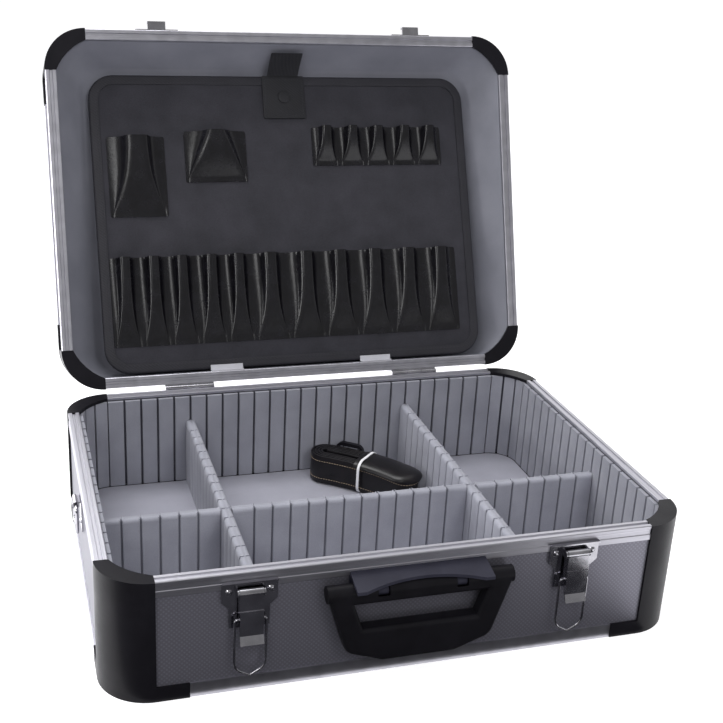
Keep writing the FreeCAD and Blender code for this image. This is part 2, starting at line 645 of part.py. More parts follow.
LEFT_FACE = f"(divider_thick / 2 + fit_gap - {LEFT_STEPS} * slot_pitch)"
RIGHT_FACE = f"({RIGHT_STEPS} * slot_pitch - divider_thick / 2 - fit_gap)"
LEFT_BACK = f"(-divider_thick / 2 - fit_gap - {LEFT_STEPS} * slot_pitch)"
RIGHT_BACK = f"({RIGHT_STEPS} * slot_pitch + divider_thick / 2 + fit_gap)"
left_room = math.floor((foam_x + left_x - s.divider_thick) / s.slot_pitch)
right_room = math.floor((foam_x - right_x - s.divider_thick) / s.slot_pitch)
cross = turned(Z_AXIS, 0, vector(0, cross_y, 0))
keep(divider("cross_divider_left", f"-{FOAM_END_X}", LEFT_BACK,
             f"-({LEFT_STEPS} + 1.5 + {left_room - 1}) * slot_pitch", left_room, "wall_tongue",
             "cross_tongue"), "cross_divider_left", cross)
keep(divider("cross_divider_middle", LEFT_FACE, RIGHT_FACE, f"-({LEFT_STEPS} - 1.5) * slot_pitch",
             int(LEFT_STEPS + RIGHT_STEPS) - 2, "cross_tongue", "cross_tongue"),
     "cross_divider_middle", cross)
keep(divider("cross_divider_right", RIGHT_BACK, FOAM_END_X, f"({RIGHT_STEPS} + 1.5) * slot_pitch",
             right_room, "cross_tongue", "wall_tongue"), "cross_divider_right", cross)


# Lid lining and tool board

def lid_lining():
    """A moulded lining with a sloping-walled hollow that is open at the rim."""
    edge = skin_in + s.fit_gap
    low, high = lid_floor + s.lid_cap_web + s.fit_gap, lid_top - s.floor_board - s.fit_gap
    block = Part.Face(rounded_rectangle(edge - half_width, half_width - edge, edge - half_depth,
                                        half_depth - edge, s.corner_radius - edge, low))
    block = block.extrude(vector(0, 0, high - low))
    mouth = rounded_rectangle(-rim_x, rim_x, -rim_y, rim_y, s.cavity_rim_radius, low)
    floor = rounded_rectangle(-s.cavity_half_width, s.cavity_half_width,
                              s.cavity_front_margin - half_depth, rim_y, s.cavity_floor_radius,
                              lid_floor + s.cavity_depth)
    return block.cut(Part.makeLoft([mouth, floor], True, True))


feature("lid_lining", lid_lining(), lid_open)


def board_plate(name, inset, low, high, radius):
    """A rounded plate inside the board's outline, between two depths."""
    body = new_body(name)
    flat = pad(body, sketch(body, "XZ_Plane", [rectangle(
        (f"{inset} - board_width / 2", f"board_width / 2 - {inset}"),
        (inset, f"board_height - {inset}"))], f"-({high})"), f"({high}) - ({low})")
    soften(body, flat, radius, lambda e: runs_along(e, Y_AXIS))
    return body


keep(board_plate("tool_board", "binding_proud", "0", "board_thick", "board_radius - binding_proud"),
     "tool_board", board_place)
outer = board_plate("binding_outer", "0", "-binding_proud", "board_thick + binding_proud", "board_radius")
window = board_plate("binding_window", "binding_width", "-binding_proud - overrun",
                     "board_thick + binding_proud + overrun", "board_radius - binding_width")
seat = board_plate("binding_seat", "binding_proud", "0", "board_thick", "board_radius - binding_proud")
frame = doc.addObject("Part::Cut", "binding_frame")
frame.Base, frame.Tool = outer, window
joined("board_binding", "Part::Cut", frame, seat, board_place)


def pleat(left, pitch, ridge, bottom, height):
    """One sewn pocket: a skin that is flat at its foot and stands out from the board at its mouth."""
    middle, foot, mouth = left + pitch / 2, bottom + s.pocket_hem, bottom + height
    skin, depth = s.pocket_skin, s.pocket_depth

    def ring(z, base_half, ridge_half, out):
        points = [vector(middle - base_half, 0, z), vector(middle - ridge_half, -out, z),
                  vector(middle + ridge_half, -out, z), vector(middle + base_half, 0, z)]
        return Part.makePolygon(points + points[:1])

    outside = Part.makeLoft([ring(foot, pitch / 2, pitch / 2 - skin, skin),
                             ring(mouth, pitch / 2, ridge / 2, depth)], True, True)
    inside = Part.makeLoft([ring(foot + skin, pitch / 2 - 3 * skin, pitch / 2 - 4 * skin, skin / 4),
                            ring(mouth + s.overrun, pitch / 2 - 2 * skin, ridge / 2 - skin, depth - skin)],
                           True, True)
    hem = Part.makeBox(pitch, skin, s.pocket_hem, vector(left, -skin, bottom))
    return outside.cut(inside).fuse(hem)


def pocket_strip(name, left, bottom, height, pitches):
    """A row of pleated pockets sewn side by side."""
    pieces = []
    for pitch, ridge in pitches:
        pieces.append(pleat(left, pitch, ridge, bottom, height))
        left += pitch
    strip = pieces[0].multiFuse(pieces[1:]).removeSplitter() if len(pieces) > 1 else pieces[0]
    feature(name, strip, board_place)


# The long strip starts with narrow pockets, and both strips reach as far as the binding.
NARROW, WIDE = (s.narrow_pitch, s.narrow_ridge), (s.wide_pitch, s.wide_ridge)
NARROW_COUNT = 5
strip_end = s.board_width / 2 - s.binding_width
wide_room = strip_end + s.long_strip_left - NARROW_COUNT * s.narrow_pitch
pocket_strip("long_pocket_strip", -s.long_strip_left, s.long_strip_bottom, s.long_strip_height,
             [NARROW] * NARROW_COUNT + [WIDE] * int(wide_room / s.wide_pitch))
pocket_strip("small_pocket_strip", s.loop_strip_left, s.loop_strip_bottom, s.loop_strip_height,
             [NARROW] * int((strip_end - s.loop_strip_left) / s.narrow_pitch))
pocket_strip("large_pocket", -s.large_left, s.large_bottom, s.large_height,
             [(s.large_width, s.large_ridge)])
pocket_strip("medium_pocket", -s.medium_left, s.medium_bottom, s.medium_height,
             [(s.medium_width, s.medium_ridge)])


def board_tab():
    """The strap at the board's top: a sewn patch with a press stud, and an end that lies on the lining."""
    top, front = s.board_height, -s.binding_proud
    patch = Part.makeBox(s.patch_width, s.tab_thick, s.patch_height,
                         vector(-s.patch_width / 2, front - s.tab_thick, top - s.patch_height))
    seat = Part.makeBox(s.patch_width, s.binding_proud, s.patch_height - s.binding_width,
                        vector(-s.patch_width / 2, front, top - s.patch_height))
    stud = Part.makeCylinder(s.snap_radius, s.snap_rise,
                             vector(0, front - s.tab_thick, top - s.patch_height / 2), vector(0, -1, 0))
    lean = FreeCAD.Rotation(X_AXIS, board_lean)
    along = s.case_depth - s.rim_width - s.board_foot - s.tab_margin
    end = lean.multVec(vector(0, s.tab_end_depth - s.board_inset, along))
    side = [vector(0, front, top), end, end - lean.multVec(vector(0, s.tab_thick, 0)),
            vector(0, front - s.tab_thick, top - s.tab_thick), vector(0, front, top - s.tab_thick)]
    strap = Part.Face(Part.makePolygon(side + side[:1])).extrude(vector(s.tab_width, 0, 0))
    strap.translate(vector(-s.tab_width / 2, 0, 0))
    return patch.multiFuse([seat, stud, strap]).removeSplitter()


feature("board_tab", board_tab(), board_place)

clips = []
for side, name in SIDES:
    body = new_body(f"clip_{name}")
    wall = f"{HALF_DEPTH} - rim_width"
    lip_high = f"{LID_FLOOR} + board_inset - binding_proud - clip_clear"
    section = [(wall, f"{LID_FLOOR} + rim_web"), (wall, lip_high), (f"{wall} - clip_height", lip_high),
               (f"{wall} - clip_height", f"{lip_high} - clip_thick"),
               (f"{wall} - fit_gap - clip_thick", f"{lip_high} - clip_thick"),
               (f"{wall} - fit_gap - clip_thick", f"{LID_FLOOR} + rim_web")]
    section = [(f"{y} - fit_gap" if i < 2 else y, z) for i, (y, z) in enumerate(section)]
    pad(body, sketch(body, "YZ_Plane", [section]), "clip_width", midplane=True)
    body.Placement = lid_open.multiply(FreeCAD.Placement(vector(side * s.clip_space / 2, 0, 0),
                                                         FreeCAD.Rotation()))
    clips.append(body)
group("board_clips", clips)


# Hinges

def hinge_leaf(name, turned_over):
    """One leaf with its knuckles, drawn about the pin: X along the pin, the case's face towards -Y."""
    plate_y = -s.hinge_out - s.corner_proud
    third = s.hinge_width * s.knuckle_share
    half, side = s.hinge_width / 2, -1 if not turned_over else 1
    reach = s.hinge_knuckle - s.sheet_thick
    low, high = sorted((side * reach, side * (s.hinge_leaf + reach)))
    leaf = Part.makeBox(s.hinge_width, s.sheet_thick, high - low, vector(-half, plate_y, low))
    spans = [(third - half + s.knuckle_gap, half - third - s.knuckle_gap)] if turned_over else [
        (-half, third - half), (half - third, half)]
    web_low = min(side * reach, side * s.hinge_knuckle)
    pieces = []
    for start, end in spans:
        barrel = Part.makeCylinder(s.hinge_knuckle, end - start, vector(start, 0, 0), X_AXIS)
        web = Part.makeBox(end - start, -plate_y, s.sheet_thick, vector(start, plate_y, web_low))
        pieces += [barrel, web]
    bore = Part.makeCylinder(s.hinge_pin_radius + s.pin_clear, s.hinge_width + 2 * s.overrun,
                             vector(-half - s.overrun, 0, 0), X_AXIS)
    return feature(name, leaf.multiFuse(pieces).cut(bore).removeSplitter(), kept=False)


base_leaves, lid_leaves, hinge_pins = [], [], []
for side, name in SIDES:
    place = FreeCAD.Placement(vector(side * s.hinge_space / 2, hinge_y, hinge_z), FreeCAD.Rotation())
    leaf = hinge_leaf(f"hinge_base_{name}", False)
    leaf.Placement = place
    base_leaves.append(leaf)
    leaf = hinge_leaf(f"hinge_lid_{name}", True)
    leaf.Placement = lid_open.multiply(place)
    lid_leaves.append(leaf)
    pin = doc.addObject("Part::Cylinder", f"hinge_pin_{name}")
    bind(pin, "Radius", "hinge_pin_radius")
    bind(pin, "Height", "hinge_width")
    pin.Placement = place.multiply(turned(Y_AXIS, 90, vector(-s.hinge_width / 2, 0, 0)))
    hinge_pins.append(pin)
group("hinge_base_leaves", base_leaves)
group("hinge_lid_leaves", lid_leaves)
group("hinge_pins", hinge_pins)


# Latches

def latch_plate(name):
    """The riveted plate with its top lip and the two ears that carry the lever."""
    body = new_body(name)
    half, foot_half = "plate_width / 2", "plate_foot_width / 2"
    outline = [(f"-{half}", "plate_top"), (f"-{half}", "plate_shoulder"), (f"-{foot_half}", "plate_waist"),
               (f"-{foot_half}", "plate_bottom"), (foot_half, "plate_bottom"), (foot_half, "plate_waist"),
               (half, "plate_shoulder"), (half, "plate_top")]
    pad(body, sketch(body, "XZ_Plane", [outline], FLANGE), "sheet_thick")
    lip = rectangle((f"-{half}", half), ("plate_top - sheet_thick", "plate_top"))
    pad(body, sketch(body, "XZ_Plane", [lip], f"{FLANGE} + sheet_thick"), "lip_reach - sheet_thick")
    return body


def latch_ears(name):
    """Two ears about the lever's pin, drawn about the pin, which runs along X."""
    inner = s.lever_width / 2 + s.ear_gap
    back = s.lever_pivot_out - s.sheet_thick
    ears = []
    for side in (-1, 1):
        start = inner if side > 0 else -inner - s.ear_thick
        disc = Part.makeCylinder(s.ear_radius, s.ear_thick, vector(start, 0, 0), X_AXIS)
        root = Part.makeBox(s.ear_thick, back, 2 * s.ear_radius, vector(start, 0, -s.ear_radius))
        ears.append(disc.fuse(root))
    bore = Part.makeCylinder(s.pin_radius + s.pin_clear, s.plate_width,
                             vector(-s.plate_width / 2, 0, 0), X_AXIS)
    return feature(name, Part.makeCompound([ear.cut(bore) for ear in ears]), kept=False)


def latch_lever(name):
    """The lever, drawn about its pin: a rolled top, a broken front sheet, cheeks and a curled foot."""
    half, sheet_thick = s.lever_width / 2, s.sheet_thick
    front = -(s.lever_front - s.lever_pivot_out)
    fold, low = s.lever_break - s.lever_pivot_height, s.lever_bottom - s.lever_pivot_height
    roll = Part.makeCylinder(s.lever_roll, s.lever_width, vector(-half, 0, 0), X_AXIS)
    side = [vector(-half, front, 0), vector(-half, front, fold), vector(-half, front - s.lever_step, fold),
            vector(-half, front - s.lever_step, low),
            vector(-half, front - s.lever_step - s.lever_lip_out, low - s.lever_lip_drop),
            vector(-half, front - s.lever_lip_out + sheet_thick - s.lever_step, low - s.lever_lip_drop),
            vector(-half, front + sheet_thick - s.lever_step, low),
            vector(-half, front + sheet_thick, low), vector(-half, front + sheet_thick, 0)]
    sheet_solid = Part.Face(Part.makePolygon(side + side[:1])).extrude(vector(s.lever_width, 0, 0))
    cheek_low = s.bail_pivot_height - s.lever_pivot_height - 2 * s.lever_roll
    cheek_back = s.lever_pivot_out - s.bail_out + s.lever_roll - s.bail_wire
    cheeks = [Part.makeBox(s.ear_thick, cheek_back - front, -cheek_low,
                           vector(start, front, cheek_low)) for start in (-half, half - s.ear_thick)]
    bores = [Part.makeCylinder(s.pin_radius + s.pin_clear, s.plate_width,
                               vector(-s.plate_width / 2, 0, 0), X_AXIS),
             Part.makeCylinder(s.bail_wire + s.bail_hole_clear, s.plate_width,
                               vector(-s.plate_width / 2, s.lever_pivot_out - s.bail_out,
                                      s.bail_pivot_height - s.lever_pivot_height), X_AXIS)]
    return roll.multiFuse([sheet_solid] + cheeks).cut(bores).removeSplitter()


def latch_bail(name):
    """The wire bail, drawn about its pivot: bent-in ends, two arms, round shoulders and a pointed tip."""
    side, down = s.bail_half_width, s.bail_length
    inner = s.lever_width / 2 - s.ear_thick - s.bail_wire
    points = [vector(-inner, 0, 0), vector(-side, 0, 0), vector(-side, 0, s.bail_point - down),
              vector(0, 0, -down), vector(side, 0, s.bail_point - down), vector(side, 0, 0),
              vector(inner, 0, 0)]
    radii = [s.bail_bend, s.bail_shoulder_radius, s.bail_tip_radius, s.bail_shoulder_radius, s.bail_bend]
    return wire_solid(rounded_path(points, radii), s.bail_wire)


latch_pins = []
for side, name in SIDES:
    centre = side * s.latch_space / 2
    plate, ears = latch_plate(f"plate_{name}"), latch_ears(f"ears_{name}")
    plate.Placement = FreeCAD.Placement(vector(centre, 0, 0), FreeCAD.Rotation())
    pivot = FreeCAD.Placement(vector(centre, -flange - s.lever_pivot_out, s.lever_pivot_height),
                              FreeCAD.Rotation())
    ears.Placement = pivot
    joined(f"latch_plate_{name}", "Part::Fuse", plate, ears)
    feature(f"latch_lever_{name}", latch_lever(name), pivot)
    feature(f"latch_bail_{name}", latch_bail(name), FreeCAD.Placement(
        vector(centre, -flange - s.bail_out, s.bail_pivot_height), FreeCAD.Rotation()))
    pin = doc.addObject("Part::Cylinder", f"latch_pin_{name}")
    bind(pin, "Radius", "pin_radius")
    bind(pin, "Height", "lever_width + 2 * ear_gap + 2 * ear_thick")
    pin_start = -s.lever_width / 2 - s.ear_gap - s.ear_thick
    pin.Placement = pivot.multiply(turned(Y_AXIS, 90, vector(pin_start, 0, 0)))
    latch_pins.append(pin)
group("latch_pins", latch_pins)

catches = []
for side, name in SIDES:
    body = new_body(f"catch_{name}")
    face, foot = f"-({FLANGE})", f"{LID_FLOOR} + catch_rise"
    plate = rectangle((f"{face} - sheet_thick", face), (foot, f"{foot} + catch_height"))
    pad(body, sketch(body, "YZ_Plane", [plate]), "catch_width", midplane=True)
    out = f"{face} - bail_out - bail_wire - lip_clear"
    finger = [(face, foot), (f"{out} - sheet_thick", foot),
              (f"{out} - sheet_thick", f"{foot} + finger_rise + finger_lip"),
              (out, f"{foot} + finger_rise + finger_lip"), (out, f"{foot} + finger_rise"),
              (face, f"{foot} + finger_rise")]
    pad(body, sketch(body, "YZ_Plane", [finger]), "finger_width", midplane=True)
    body.Placement = lid_open.multiply(FreeCAD.Placement(vector(side * s.latch_space / 2, 0, 0),
                                                         FreeCAD.Rotation()))
    catches.append(body)
group("latch_catches", catches)


# Handle

def handle_grip(name):
    """The drop handle, drawn about its pin: a round top bar, tapering arms and a thick lower grip."""
    body = new_body(name)
    outline = [("-handle_half_width", "0"), ("-handle_foot_half", "-handle_side_drop"),
               ("-handle_foot_half * 0.5", "-handle_drop"), ("handle_foot_half * 0.5", "-handle_drop"),
               ("handle_foot_half", "-handle_side_drop"), ("handle_half_width", "0")]
    gap = [("-handle_gap_half_top", "-handle_gap_top"), ("handle_gap_half_top", "-handle_gap_top"),
           ("handle_gap_half_bottom", "-handle_gap_bottom"),
           ("-handle_gap_half_bottom", "-handle_gap_bottom")]
    ring = pad(body, sketch(body, "XZ_Plane", [outline, gap]), "2 * handle_half_thick", midplane=True)
    ring = soften(body, ring, "handle_corner_radius", lambda e: runs_along(e, Y_AXIS)
                  and e.CenterOfMass.z < -s.handle_gap_bottom - s.handle_round)
    soften(body, ring, "handle_round", lambda e: not runs_along(e, Y_AXIS)
           and e.BoundBox.ZMin < -s.handle_half_thick and e.BoundBox.YLength < s.handle_round
           and abs(abs(e.CenterOfMass.y) - s.handle_half_thick) < s.handle_round / 2)
    return body


def handle_bar(name):
    """The round bar along the handle's top, notched for the knuckles and bored for the pin."""
    bar = Part.makeCylinder(s.handle_half_thick, 2 * s.handle_half_width,
                            vector(-s.handle_half_width, 0, 0), X_AXIS)
    return feature(name, bar, kept=False)


def handle_notches(name):
    pieces = [Part.makeCylinder(s.handle_pin_radius + s.pin_clear, 2 * s.hood_half_width,
                                vector(-s.hood_half_width, 0, 0), X_AXIS)]
    room = s.knuckle_width + 2 * s.knuckle_clear
    for side in (-1, 1):
        pieces.append(Part.makeCylinder(s.handle_half_thick + s.knuckle_clear, room,
                                        vector(side * s.knuckle_place - room / 2, 0, 0), X_AXIS))
    return feature(name, pieces[0].multiFuse(pieces[1:]), kept=False)


pivot = FreeCAD.Placement(vector(0, -flange - s.handle_out, s.handle_pivot_height), FreeCAD.Rotation())
whole = doc.addObject("Part::Fuse", "handle_whole")
whole.Base, whole.Tool = handle_grip("handle_ring"), handle_bar("handle_bar")
joined("handle_grip", "Part::Cut", whole, handle_notches("handle_notches"), pivot)

mount = new_body("mount_plate")
face = f"-({HALF_DEPTH} - ({SKIN_OUT}))"
root = f"-({FLANGE})"
back = [(face, "mount_foot"), (face, "base_height - rim_drop"), (root, "base_height - rim_drop"),
        (root, "hood_top"), (f"{root} - hood_reach", "hood_top - hood_fall"),
        (f"{root} - hood_reach", "hood_top - hood_fall - hood_thick"),
        (f"{root} - mount_thick / 2", "hood_top - hood_thick"),
        (f"{root} - mount_thick / 2", "mount_foot")]
pad(mount, sketch(mount, "YZ_Plane", [back]), "2 * hood_half_width", midplane=True)
arch_radius = (s.hood_arch_half ** 2 + s.hood_arch ** 2) / (2 * s.hood_arch)
arch = feature("mount_arch", Part.makeCylinder(arch_radius, s.base_height, vector(
    0, -flange - s.hood_reach + s.hood_arch - arch_radius, 0)), kept=False)
hood = doc.addObject("Part::Cut", "mount_hood")
hood.Base, hood.Tool = mount, arch
knuckles = []
for side in (-1, 1):
    start = side * s.knuckle_place - s.knuckle_width / 2
    barrel = Part.makeCylinder(s.knuckle_radius, s.knuckle_width, vector(start, 0, 0), X_AXIS)
    arm = Part.makeBox(s.knuckle_width, s.handle_out - s.mount_thick / 2, 1.4 * s.knuckle_radius,
                       vector(start, 0, -0.4 * s.knuckle_radius))
    bore = Part.makeCylinder(s.handle_pin_radius + s.pin_clear, s.knuckle_width, vector(start, 0, 0), X_AXIS)
    knuckles.append(barrel.fuse(arm).cut(bore))
ears = feature("mount_knuckles", Part.makeCompound(knuckles), pivot, kept=False)
joined("handle_mount", "Part::Fuse", hood, ears)

pin = doc.addObject("Part::Cylinder", "handle_pin")
bind(pin, "Radius", "handle_pin_radius")
bind(pin, "Height", "2 * hood_half_width - 2 * fit_gap")
keep(pin, "handle_pin", pivot.multiply(turned(Y_AXIS, 90, vector(s.fit_gap - s.hood_half_width, 0, 0))))


# Side rings

def ring_bracket(name):
    """A side plate with the barrel that holds the ring, drawn about the barrel, which runs along Y."""
    wall = s.ring_out
    plate_corner = vector(wall - s.sheet_thick, -s.ring_plate_width / 2,
                          s.ring_barrel - s.ring_plate_height)
    plate = Part.makeBox(s.sheet_thick, s.ring_plate_width, s.ring_plate_height, plate_corner)
    barrel = Part.makeCylinder(s.ring_barrel, 2 * s.ring_barrel_half,
                               vector(0, -s.ring_barrel_half, 0), Y_AXIS)
    web = Part.makeBox(wall, 2 * s.ring_barrel_half, s.sheet_thick,
                       vector(0, -s.ring_barrel_half, s.ring_barrel - s.sheet_thick))
    bore = Part.makeCylinder(s.ring_wire + s.fit_gap, s.ring_plate_width + 2 * s.overrun,
                             vector(0, -s.ring_plate_width / 2 - s.overrun, 0), Y_AXIS)
    return plate.multiFuse([barrel, web]).cut(bore).removeSplitter()


def side_ring():
    """A closed wire ring that hangs in the barrel, drawn about it."""
    side, drop, bend = s.ring_half_width, s.ring_drop, s.ring_bend
    points = [vector(0, 0, 0), vector(0, side, 0), vector(0, side, -drop), vector(0, -side, -drop),
              vector(0, -side, 0), vector(0, 0, 0)]
    return wire_solid(rounded_path(points, [bend / 2, bend, bend, bend / 2]), s.ring_wire)


brackets = []
for side, name in SIDES:
    turn = 0 if side < 0 else 180
    place = turned(Z_AXIS, turn, vector(side * (half_width + s.ring_out - s.metal_thick - s.corner_proud), 0,
                                        s.ring_height))
    bracket = feature(f"bracket_{name}", ring_bracket(name), place, kept=False)
    brackets.append(bracket)
    feature(f"strap_ring_{name}", side_ring(), place)
group("strap_brackets", brackets)


# Rivets

def rivet(place):
    """A domed head whose flat side lies on the sheet, with its axis along the place's Z."""
    ball_radius = (s.rivet_radius ** 2 + s.rivet_rise ** 2) / (2 * s.rivet_rise)
    ball = Part.makeSphere(ball_radius, vector(0, 0, s.rivet_rise - ball_radius))
    half_space = Part.makeCylinder(ball_radius, ball_radius, ORIGIN)
    head = ball.common(half_space)
    head.Placement = place.multiply(head.Placement)
    return head


FACING_FRONT, FACING_BACK = (X_AXIS, 90), (X_AXIS, -90)
base_heads, lid_heads = [], []
latch_edge = (s.plate_width + s.lever_width + 2 * s.ear_gap + 2 * s.ear_thick) / 4
rivet_height = (s.plate_top + s.plate_shoulder) / 2
for side, name in SIDES:
    for edge in (-1, 1):
        centre = side * s.latch_space / 2 + edge * latch_edge
        base_heads.append(rivet(turned(*FACING_FRONT, vector(centre, -flange - s.sheet_thick, rivet_height))))
        centre = side * s.latch_space / 2 + edge * (s.catch_width + s.finger_width) / 4
        lid_heads.append(rivet(lid_open.multiply(turned(*FACING_FRONT, vector(
            centre, -flange - s.sheet_thick, lid_floor + s.catch_rise + s.catch_height / 2)))))
        centre = side * s.hinge_space / 2 + edge * s.hinge_width / 3
        drop = s.hinge_knuckle + s.hinge_leaf / 2
        base_heads.append(rivet(turned(*FACING_BACK, vector(centre, flange + s.sheet_thick, hinge_z - drop))))
        lid_heads.append(rivet(lid_open.multiply(turned(*FACING_BACK, vector(
            centre, flange + s.sheet_thick, hinge_z + drop)))))
    face_x = side * (half_width - s.metal_thick - s.corner_proud + s.sheet_thick)
    base_heads.append(rivet(turned(Y_AXIS, side * 90, vector(
        face_x, 0, s.ring_height + s.ring_barrel - s.ring_plate_height * 0.75))))
feature("base_rivets", Part.makeCompound(base_heads))
feature("lid_rivets", Part.makeCompound(lid_heads))


# Shoulder strap

def strap_arcs(offset):
    """The arcs of a line that winds along the strap, that far to the side of its middle."""
    bow, half_angle = s.strap_bow_radius, math.radians(s.strap_half_angle)
    centre = vector(0, -bow)
    arcs, step = [], 0
    half_runs = int(2 * s.strap_turns)
    places = [s.strap_core + k * s.strap_pitch / 2 for k in range(half_runs + 1)]

    def on_bow(radius, angle):
        return centre + vector(radius * math.sin(angle), radius * math.cos(angle))

    for k, place in enumerate(places):
        outward = 1 if k % 2 == 0 else -1
        radius = bow + outward * (place + offset)
        start, end = (-half_angle, half_angle) if outward > 0 else (half_angle, -half_angle)
        arcs.append(Part.Arc(on_bow(radius, start), on_bow(radius, 0), on_bow(radius, end)).toShape())
        if k < half_runs:
            following = places[k + 1]
            middle = on_bow(bow + outward * (place - following) / 2, end)
            turn_radius = (place + following) / 2 + offset
            radial = (middle - centre).normalize() * outward
            tangent = vector(math.cos(end), -math.sin(end)) * (1 if outward > 0 else -1)
            arcs.append(Part.Arc(middle + radial * turn_radius, middle + tangent * turn_radius,
                                 middle - radial * turn_radius).toShape())
    return arcs


def strap():
    """The strap wound flat on its edge, as one unbroken band."""
    outer, inner = strap_arcs(s.strap_thick / 2), strap_arcs(-s.strap_thick / 2)
    ends = [Part.LineSegment(outer[k].Vertexes[k].Point, inner[k].Vertexes[k].Point).toShape()
            for k in (0, -1)]
    face = Part.Face(Part.Wire(Part.__sortEdges__(outer + inner + ends)))
    return face.extrude(vector(0, 0, s.strap_width))


def strap_gap():
    """The least gap between the band's turns, measured on points of its middle line."""
    points = [point for arc in strap_arcs(0) for point in arc.discretize(24)]
    along, run = [0.0], 0.0
    for before, after in zip(points, points[1:]):
        run += (after - before).Length
        along.append(run)
    apart = [(p - q).Length for i, p in enumerate(points) for j, q in enumerate(points[:i])
             if along[i] - along[j] > math.pi * s.strap_core + 2 * s.strap_pitch]
    return min(apart) - s.strap_thick


strap_base = foam_floor + s.fit_gap + s.tie_thick + s.fit_gap
strap_place = turned(Z_AXIS, s.strap_turn, vector(s.strap_x, s.strap_y, strap_base))
feature("shoulder_strap", strap(), strap_place)
print("least gap between the strap's turns:", round(strap_gap(), 2), "mm")


def strap_tie():
    """A thin band round the middle of the wound strap."""
    half = s.strap_core + s.strap_turns * s.strap_pitch + s.strap_thick / 2 + s.fit_gap
    low, high = -s.fit_gap, s.strap_width + s.fit_gap
    hole = Part.makeBox(s.tie_width, 2 * half, high - low, vector(-s.tie_width / 2, -half, low))
    band = Part.makeBox(s.tie_width, 2 * (half + s.tie_thick), high - low + 2 * s.tie_thick,
                        vector(-s.tie_width / 2, -half - s.tie_thick, low - s.tie_thick))
    return band.cut(hole)


feature("strap_tie", strap_tie(), strap_place)


def strap_hook():
    """The strap's flat end fitting, standing on edge against the back of the wound strap."""
    half, end, wall = s.hook_width / 2, s.hook_length / 2, s.hook_wall
    outline = Part.Face(rounded_rectangle(-end, end, -half, half, 2 * wall, 0))
    slot = Part.Face(rounded_rectangle(end - wall - s.hook_slot, end - wall, wall - half, half - wall,
                                       wall / 2, 0))
    eye = Part.Face(rounded_rectangle(wall - end, end - 2 * wall - s.hook_slot, wall - half, half - wall,
                                      wall, 0))
    return outline.cut(slot).cut(eye).extrude(vector(0, 0, s.hook_thick))


def hook_place():
    angle = math.radians(s.hook_angle)
    radius = s.strap_bow_radius + s.strap_core + s.strap_turns * s.strap_pitch + s.strap_thick / 2 + s.fit_gap
    outward, along = vector(math.sin(angle), math.cos(angle)), vector(math.cos(angle), -math.sin(angle))
    rise = foam_floor + s.fit_gap + s.hook_length / 2 - strap_base
    base = outward * radius + vector(0, -s.strap_bow_radius, rise)
    return strap_place.multiply(FreeCAD.Placement(base, FreeCAD.Rotation(Z_AXIS, along, outward, "XYZ")))


feature("strap_hook", strap_hook(), hook_place())


# Checks and files

doc.recompute()
for thing in doc.Objects:
    if "Invalid" in thing.State or "Error" in thing.State:
        raise RuntimeError(f"{thing.Label} failed: {thing.State}")
names = [thing.Label for thing in sub_parts]
if len(set(names)) != len(names):
    raise RuntimeError("two sub-parts share a name")
for thing in sub_parts:
    if thing.Shape.isNull() or not thing.Shape.isValid():
        raise RuntimeError(f"{thing.Label} has no valid shape")

os.makedirs("parts", exist_ok=True)
for thing in sub_parts:
    thing.Shape.exportStep(f"parts/{thing.Label}.step")
print(len(sub_parts), "sub-parts")
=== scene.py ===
import math
import bpy
from mathutils import Matrix, Vector


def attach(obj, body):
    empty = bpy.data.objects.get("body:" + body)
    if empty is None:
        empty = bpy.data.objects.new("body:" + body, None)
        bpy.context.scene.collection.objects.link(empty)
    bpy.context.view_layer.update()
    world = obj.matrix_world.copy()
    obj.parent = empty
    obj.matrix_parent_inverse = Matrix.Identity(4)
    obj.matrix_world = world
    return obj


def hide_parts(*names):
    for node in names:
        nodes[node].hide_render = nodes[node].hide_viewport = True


# A hard tool case with its lid open. Its pieces are measured in millimetres, which MM turns to metres.
# The stage, the lights and the camera are in metres, and the patterns' scales are numbers to the metre.
# X runs to the right, Y to the hinges and Z up.
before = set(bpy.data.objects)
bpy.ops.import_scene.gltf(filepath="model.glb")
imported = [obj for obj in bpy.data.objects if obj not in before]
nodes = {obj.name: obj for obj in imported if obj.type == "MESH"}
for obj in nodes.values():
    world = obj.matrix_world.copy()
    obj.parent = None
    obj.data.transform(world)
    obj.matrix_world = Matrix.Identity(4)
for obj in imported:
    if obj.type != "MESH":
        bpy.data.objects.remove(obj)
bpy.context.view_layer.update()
MM = 0.001


# Aluminium extrusions: the rims of base and lid and the angle rails along the outer edges. They are
# extruded, brushed along their length and anodised clear, so they shine softly and show fine lines.

def colour(text):
    """A hex sRGB colour as linear red, green, blue and alpha."""
    parts = [int(text[i:i + 2], 16) / 255 for i in (1, 3, 5)]
    return [c / 12.92 if c <= 0.04045 else ((c + 0.055) / 1.055) ** 2.4 for c in parts] + [1.0]


def add(tree, kind, inputs=None, **settings):
    """Adds a node with its settings. An input that is another node's socket is linked."""
    node = tree.nodes.new("ShaderNode" + kind)
    for name, value in settings.items():
        setattr(node, name, value)
    for name, value in (inputs or {}).items():
        if isinstance(value, bpy.types.NodeSocket):
            tree.links.new(value, node.inputs[name])
        else:
            node.inputs[name].default_value = value
    return node


def surface(name, **inputs):
    """A new material with its principled shader, and the object's own coordinates."""
    material = bpy.data.materials.new(name)
    material.use_nodes = True
    tree = material.node_tree
    shader = tree.nodes["Principled BSDF"]
    for title, value in inputs.items():
        shader.inputs[title.replace("_", " ")].default_value = value
    place = add(tree, "TexCoord").outputs["Object"]
    return material, tree, shader, place


def ramp(tree, factor, stops):
    """A colour ramp from the factor, with two (position, hex) stops."""
    node = add(tree, "ValToRGB", {"Fac": factor})
    for element, (position, text) in zip(node.color_ramp.elements, stops):
        element.position, element.color = position, colour(text)
    return node.outputs["Color"]


